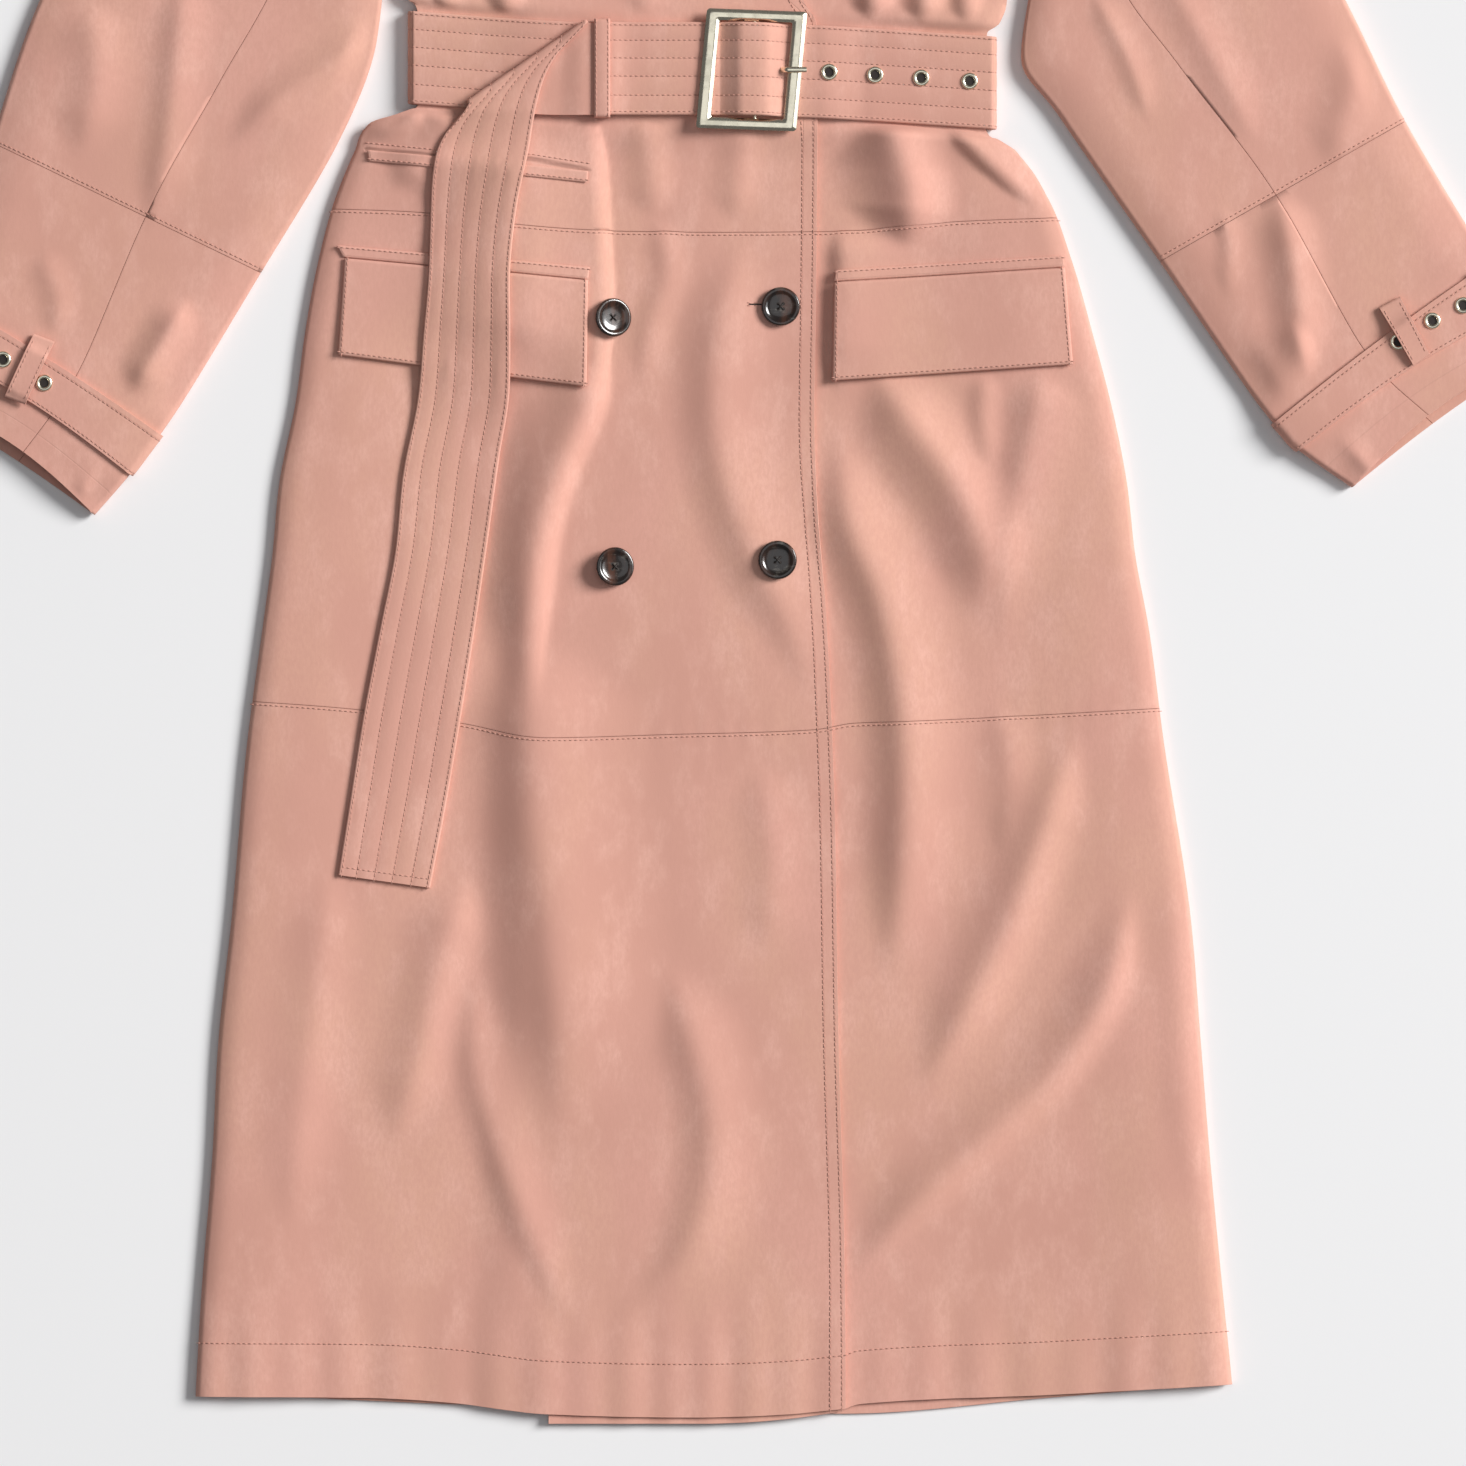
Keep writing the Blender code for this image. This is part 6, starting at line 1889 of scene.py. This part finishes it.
    def _keeper(self) -> None:
        """Loop that holds the two layers together beside the buckle."""
        y = float(self.shape.belt_line(np.array(-60.4)))
        x = np.linspace(*self.keeper_x, 9)[:, None]
        grids = []
        for grow in (self.keeper_wall, 0.0):
            half, low, high = self.width / 2 + 0.4 + grow, self.keeper_z[0] - grow, self.keeper_z[1] + grow
            corner = 0.9 + grow
            path = np.array([spot for cy, cz, start in (
                (half - corner, high - corner, 0), (-half + corner, high - corner, 90),
                (-half + corner, low + corner, 180), (half - corner, low + corner, 270))
                for spot in arc(cy, cz, corner, np.arange(start, start + 91, 30))])
            bulge = 0.35 * np.sin(np.linspace(0, pi, 9))[:, None] * (path[:, 1] > 14) if grow else 0.0
            grids.append(stack(x, y + path[:, 0], path[:, 1] + bulge))
        finish = SuedeFinish("suede_keeper")
        self.shop.cloth("belt_keeper", *grids, finish, Slot.BELT, ["belt_strap"], ring=True)
        for column in (1, 7):
            self.shop.thread.add(refine(grids[0][column, 2:6], 12), 0.05)

    def _on_frame(self, x: Array, y: Array, z: Array) -> Array:
        """Set the buckle's own points on the belt.

        Args:
            x: along its width, from its middle.
            y: along its height.
            z: above its underside.

        Returns:
            The points, turned, leaned and laid on the belt's slope.
        """
        turn = radians(self.frame_turn)
        spun_x = 32.0 + x * cos(turn) - y * sin(turn) + self.lean * y
        spun_y = -1.0 + x * sin(turn) + y * cos(turn)
        return stack(spun_x, spun_y, 14.5 - 0.0432 * (spun_x - 8) + z)

    def _buckle(self) -> None:
        """Domed frame with its hidden centre bar, and the prong."""
        metal, keep = self.shop.metal, self.shop.keep
        keep(metal_frame("buckle_frame", (31.0, 37.0), (8.5, 7.0), 3.0, 2.2, self._on_frame, metal), Slot.METAL,
             "buckle_frame")
        bar_x, bar_z, bar_radius = self.bar
        ends = [[bar_x, -1 - self.bar_half, bar_z], [bar_x, -1 + self.bar_half, bar_z]]
        keep(tube("buckle_bar", np.array(ends), bar_radius, metal, 16), Slot.METAL)
        route = [(39.8, 11.2), (41.5, 10.7), (44, 10.6), (47.6, 10.65), (48.9, 11.0), (50.0, 12.1),
                 (51.2, 13.9), (52.4, 15.6), (53.8, 16.8), (55.5, 17.15), (58, 17.1), (66, 16.7)]
        x, z = refine(np.array(route), 60).T
        path = stack(x, float(self.shape.belt_line(np.array(self.prong_x))), z)
        keep(tube("buckle_prong", path, 1.1, metal, 14, 1.6), Slot.METAL, "buckle_prong")


@dataclass
class Eyelets:
    """Rolled metal eyelets set at spots by Geometry Nodes, with a dark disc of painted shade in each hole."""

    shop: Workshop
    strap: str                                     # start of the pieces' and the CAD nodes' names
    spots: Sequence[tuple[float, float, float]]    # x, y and the height of the strap's top
    ring: float = 4.00                             # radius of the ring's middle line
    roll: float = 1.32                             # radius of its rolled edge
    # radius of the dark disc of painted shade in each hole
    hole: float = 3.4

    def build(self) -> None:
        """The metal of all eyelets as one piece, and the dark discs of painted shade in their holes as another.
        """
        name = self.strap + "_eyelets"
        mesh = bpy.data.meshes.new(name + "_spots")
        mesh.from_pydata(place(np.array(self.spots)).tolist(), [], [])
        tree = GeometryTree("eyelets", {"Ring radius": self.ring, "Roll radius": self.roll}, self.shop.metal)
        ring, roll = (tree.add("GeometryNodeCurvePrimitiveCircle", Resolution=count, Radius=(tree.start, size))
                      for size, count in (("Ring radius", 36), ("Roll radius", 12)))
        sweep = tree.add("GeometryNodeCurveToMesh", Curve=(ring, "Curve"), Profile_Curve=(roll, "Curve"))
        tree.feed(tree.shape, Geometry=(sweep, "Mesh"))
        tree.feed(tree.lay, Points=(tree.start, "Geometry"))
        self.shop.keep(tree.bake(linked(name + "_spots", mesh), name), Slot.METAL,
                       *(f"{self.strap}_eyelet_{k}" for k in range(1, len(self.spots) + 1)))
        # a dark disc in each hole: painted shade
        disc = [(0, -0.4), (self.hole, -0.4), (self.hole, 0.15), (0, 0.15)]
        hole_shade_discs = [lathe(f"{name}_hole_{k}", disc, spot, (0, 0, 1), self.shop.dark_thread, 24)
                 for k, spot in enumerate(self.spots)]
        self.shop.keep(join_objects(hole_shade_discs, name + "_holes"), Slot.HORN)


# ---------------------------------------------------------------- sleeves
class Loop(NamedTuple):
    """Loop over a sleeve strap, between four corners, and how far it stands off."""

    corners: tuple[tuple[float, float], ...]
    stand: float


LOOPS = {"right": Loop(((-412, -164), (-399, -169), (-417, -208), (-430, -203)), 1.0),
         "left": Loop(((420, -148), (433, -141), (451, -177), (441, -184)), 1.8)}
STRAP_EYELETS = {"right": [(-431, -180), (-405.5, -194.5)], "left": [(432, -169), (453, -156), (472, -146.5)]}
STRAP_BUCKLES = {"right": (-462, -164, -32), "left": (493.5, -138.5, 36)}      # x, y, degrees


@dataclass
class Sleeve:
    """Flat sleeve of two layers joined by rounded folds, with its strap and fittings."""

    shop: Workshop
    side: str
    edge_radius: float = 3.8
    rest_height: float = 2 * CLOTH + 0.4
    inner: float = -1.5             # place of the wall's inner side
    strap_lift: float = 2.1
    strap_thick: float = 1.8
    strap_deep: float = 33.0
    strap_stitch: float = 2.2
    loop_thick: float = 1.6
    elbow_stitch: float = 1.8
    swell: float = 2.8              # how far the upper layer stands above the folded edges
    swell_reach: float = 26.0
    buckle_half: tuple[float, float] = (8.0, 19.0)

    def __post_init__(self) -> None:
        """Turn the stations into smooth curves."""
        stations = SLEEVES[self.side]
        self.table = {key: smooth_table(range(len(stations)), [getattr(s, key) for s in stations])
                      for key in Station._fields}

    def _lift(self, t: Array) -> Array:
        """How far the strap that runs under the wrist lifts it."""
        return self.strap_lift * ease((t - 5.7) / 0.22) * (1 - ease((t - 7.1) / 0.75))

    def section(self, t: Array, edge: str, offset: float, seam_gap: float = SEAM) -> tuple[Array, Array]:
        """Grid of points from the front seam round one edge to the back seam.

        Args:
            t: rows, as places in the table of stations.
            edge: "outer" or "inner".
            offset: how far the points are moved out of the sleeve.
            seam_gap: how far the grid stops from each seam.

        Returns:
            The points and how far each is from the front seam.
        """
        t = np.asarray(t, float)[:, None]
        radius = self.rest_height / 2 + (self.edge_radius - self.rest_height / 2) * ease(t)
        lift = self._lift(t)
        outer, inner = (np.concatenate([self.table[end + "_x"](t), self.table[end + "_y"](t)], axis=1)[:, None]
                        for end in ("outer", "inner"))
        width = np.linalg.norm(inner - outer, axis=-1)
        seam = self.table["front_seam"](t)
        reach = (seam if edge == "outer" else 1 - seam) * width - seam_gap
        front = radius + (reach - radius) * np.linspace(1, 0, 44)
        angles = np.radians(np.linspace(0, 180, 13)[1:-1])
        folded = radius - (radius + offset) * np.sin(angles)
        back = radius + (reach - radius) * np.linspace(0, 1, 14)
        distance = np.concatenate([front, folded, back], axis=1)
        inwards = np.clip((front - radius) / self.swell_reach, 0, 1)
        swell = self.swell * ease(t) * (1 - (1 - inwards) ** 2) * (1 - 0.6 * lift / self.strap_lift)
        over = radius + lift + (radius + offset) * np.cos(angles)
        z = np.concatenate([2 * radius + swell + lift + offset, over, lift - offset + 0 * back], axis=1)
        share = distance / width if edge == "outer" else 1 - distance / width
        on_front = np.arange(distance.shape[1]) < front.shape[1]
        bow = np.where(on_front, self.table["front_bow"](t), self.table["back_bow"](t))
        shape = share.shape + (2,)
        spot, _, _ = bowed(np.broadcast_to(outer, shape), np.broadcast_to(inner, shape), bow, share)
        folds = fold_height(SLEEVE_FOLDS, spot[..., 0], spot[..., 1])
        folds *= (1 - lift / self.strap_lift) * ease((distance - radius) / 16)
        return stack(spot[..., 0], spot[..., 1], z + folds * on_front), reach - distance

    def build(self) -> None:
        """All four cut pieces, the strap and its fittings."""
        gap = SEAM / 90
        spans = {"upper": (0.002, ELBOW - gap, 110, 86.0), "lower": (ELBOW + gap, CUFF, 66, 45.0)}
        # painted shade along the sleeve seam, the elbow seam and its stitched row
        grooves = (Groove("to_seam", 0.0, 0.9, 0.16), Groove("to_elbow", 0.0, 0.9, 0.10),
                   Groove("to_elbow", self.elbow_stitch, 0.7, 0.12))
        for edge in ("outer", "inner"):
            for part, (start, end, rows, step) in spans.items():    # step: mm between two stations
                t = np.linspace(start, end, rows)
                top, to_seam = self.section(t, edge, 0.0)
                bottom, _ = self.section(t, edge, self.inner)
                name = f"{self.side}_sleeve_{edge}_{part}"
                # painted shade along the cuff's stitched row
                cuff = (Groove("to_cuff", 16.0, 0.7, 0.2),) if part == "lower" else ()
                self.shop.cloth(name, top, bottom, SuedeFinish("suede_" + name, grooves=grooves + cuff),
                                to_seam=to_seam, to_elbow=(ELBOW - t)[:, None] * step,
                                to_cuff=(CUFF - t)[:, None] * 32.0)
                if part == "upper":
                    self.shop.thread.add(row_at(top, 1 - self.elbow_stitch / (step * (end - start)))[:58])
        self._strap()
        ground = self.shop.ground(*(f"{self.side}_sleeve_{part}"
                                    for part in ("strap", "outer_lower", "inner_lower")))
        x, y = np.array(STRAP_EYELETS[self.side], float).T
        Eyelets(self.shop, f"{self.side}_strap", list(zip(x, y, ground.heights(x, y) + 0.15))).build()
        self._loop(ground)
        self._buckle(ground)

    def _strap(self) -> None:
        """Strap round the wrist, with a stitched row beside each edge."""
        t = np.linspace(STRAP_TOP, STRAP_END, 14)
        grids = []
        for offset in (GAP + self.strap_thick, GAP):
            outer, inner = (self.section(t, edge, offset, 0.0)[0] for edge in ("outer", "inner"))
            grids.append(np.concatenate([outer[:, :-1], inner[:, :0:-1]], axis=1))
        name = f"{self.side}_sleeve_strap"
        away = (t - STRAP_TOP)[:, None] * self.strap_deep
        # painted shade along the stitched row beside each edge
        finish = SuedeFinish("suede_" + name, grooves=(Groove("to_edge", self.strap_stitch, 0.7, 0.45),))
        self.shop.cloth(name, *grids, finish, Slot.BELT, [f"{self.side}_sleeve_outer_lower"], ring=True,
                        to_edge=np.minimum(away, self.strap_deep - away))
        for v in (self.strap_stitch / self.strap_deep, 1 - self.strap_stitch / self.strap_deep):
            line = row_at(grids[0], v)
            self.shop.thread.add(np.concatenate([line[-60:], line[:50]]), 0.05)

    def _loop(self, ground: Ground) -> None:
        """Loop over the strap.

        Args:
            ground: the strap and the wrist below it.
        """
        corners, stand = LOOPS[self.side]
        spots, v, _ = patch(corners, 28, 9)
        floor = ground.heights(spots[..., 0], spots[..., 1]) + GAP + 1.0
        grid = stack(spots[..., 0], spots[..., 1], settle(floor, 12) + stand * np.sin(pi * v) ** 0.7)
        top = grid + (0, 0, self.loop_thick)
        name = f"{self.side}_strap_loop"
        self.shop.cloth(name, top, grid, SuedeFinish("suede_" + name), Slot.BELT, [f"{self.side}_sleeve_strap"])
        for column in (1, 7):
            self.shop.thread.add(top[3:-3, column], 0.05)

    def _buckle(self, ground: Ground) -> None:
        """Small frame on the strap.

        Args:
            ground: the strap and the wrist below it.
        """
        x, y, degrees = STRAP_BUCKLES[self.side]
        turn = radians(degrees)
        level = float(ground.heights(np.linspace(x - 14, x + 14, 30), np.full(30, float(y))).max()) + GAP

        def on_strap(a: Array, b: Array, h: Array) -> Array:
            """The frame's own points, turned and set on the strap."""
            return stack(x + a * cos(turn) - b * sin(turn), y + a * sin(turn) + b * cos(turn), level + h)

        name = f"{self.side}_strap_buckle"
        frame = metal_frame(name, self.buckle_half, (3.0, 3.0), 2.2, 1.6, on_strap, self.shop.metal)
        self.shop.keep(frame, Slot.METAL, name)


# ---------------------------------------------------------------- studio
@dataclass
class Studio:
    """Pale floor, soft light from the upper right and the camera straight above."""

    centre: tuple[float, float] = (0.0065, -0.200)
    view_width: float = 0.909
    distance: float = 5.0
    floor: Colour = (0.86, 0.86, 0.87)
    floor_half: float = 6.0
    floor_z: float = -0.0004
    key_strength: float = 4.05
    key_turn: float = 22.0          # degrees from +X to +Y that the key comes from
    key_height: float = 31.0        # degrees above the floor
    key_spread: float = 24.0        # degrees across, for soft shadows
    side_power: float = 14.0
    overhead: float = 9.0
    cool: Colour = (0.97, 0.98, 1.0)
    sky: float = 0.13

    def build(self) -> None:
        """Floor, lights and camera."""
        self._floor()
        turn, height = radians(self.key_turn), radians(self.key_height)
        toward = Vector((cos(turn) * cos(height), sin(turn) * cos(height), sin(height)))
        self._lamp("key", "SUN", self.key_strength, (1.0, 0.99, 0.975), toward * 3, Vector(),
                   angle=radians(self.key_spread))
        aim = Vector((0.0, -0.2, 0.0))
        self._lamp("window", "AREA", self.side_power, self.cool, Vector((2.6, 0.2, 1.6)), aim, size=1.4)
        self._lamp("overhead", "AREA", self.overhead, self.cool, Vector((0.0, -0.05, 2.4)), aim, size=1.9)
        scene = bpy.context.scene
        scene.world = bpy.data.worlds.new("studio")
        scene.world.use_nodes = True
        sky = scene.world.node_tree.nodes["Background"].inputs
        sky["Color"].default_value = (*self.cool, 1.0)
        sky["Strength"].default_value = self.sky
        scene.view_settings.view_transform = "Standard"
        lens = bpy.data.cameras.new("above")
        lens.sensor_fit = "HORIZONTAL"
        lens.sensor_width = 36.0
        lens.lens = lens.sensor_width * self.distance / self.view_width
        lens.clip_end = 20.0
        scene.camera = linked("above", lens)
        scene.camera.location = (*self.centre, self.distance)

    def _floor(self) -> None:
        """Plain pale floor."""
        mesh = bpy.data.meshes.new("floor")
        corners = [(x * self.floor_half, y * self.floor_half, self.floor_z)
                   for x, y in ((-1, -1), (1, -1), (1, 1), (-1, 1))]
        mesh.from_pydata(corners, [], [(0, 1, 2, 3)])
        mesh.materials.append(Nodes("pale_floor").dress(Base_Color=self.floor, Roughness=0.75))
        linked("floor", mesh)

    @staticmethod
    def _lamp(name: str, kind: str, power: float, colour: Colour, spot: Vector, aim: Vector,
              **settings: float) -> None:
        """Add a light.

        Args:
            name: name of the light.
            kind: "SUN", or "AREA" for a large weak square that the camera doesn't see.
            power: its strength.
            colour: its colour.
            spot: where it is.
            aim: what it points at.
            settings: its other properties.
        """
        lamp = bpy.data.lights.new(name, kind)
        lamp.energy, lamp.color = power, colour
        for key, value in settings.items():
            setattr(lamp, key, value)
        made = linked(name, lamp)
        made.location = spot
        made.visible_camera = kind == "SUN"
        made.rotation_euler = (spot - aim).to_track_quat("Z", "Y").to_euler()


# ---------------------------------------------------------------- the whole coat
def main() -> None:
    """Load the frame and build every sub-assembly in order."""
    logging.basicConfig(level=logging.INFO, format="%(message)s")
    for old in list(bpy.data.objects):
        bpy.data.objects.remove(old, do_unlink=True)
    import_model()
    thread = ThreadFinish("sewing_thread").build()
    # near-black: the buttons' thread, and painted shade in the holes of the eyelets and buttons and in the
    # buttonhole
    dark_thread = ThreadFinish("dark_thread", (0.020, 0.012, 0.009)).build()
    shop = Workshop(StitchRows(thread), dark_thread, MetalFinish("pale_gold").build(),
                    HornFinish("dark_horn").build())
    shape = CoatShape()
    for assembly in (CoatBody(shop, shape), Pockets(shop), Buttons(shop), Belt(shop, shape),
                     Sleeve(shop, "right"), Sleeve(shop, "left")):
        assembly.build()
    shop.keep(shop.thread.build("topstitching"), Slot.SUEDE)
    Studio().build()


if __name__ == "__main__":
    main()
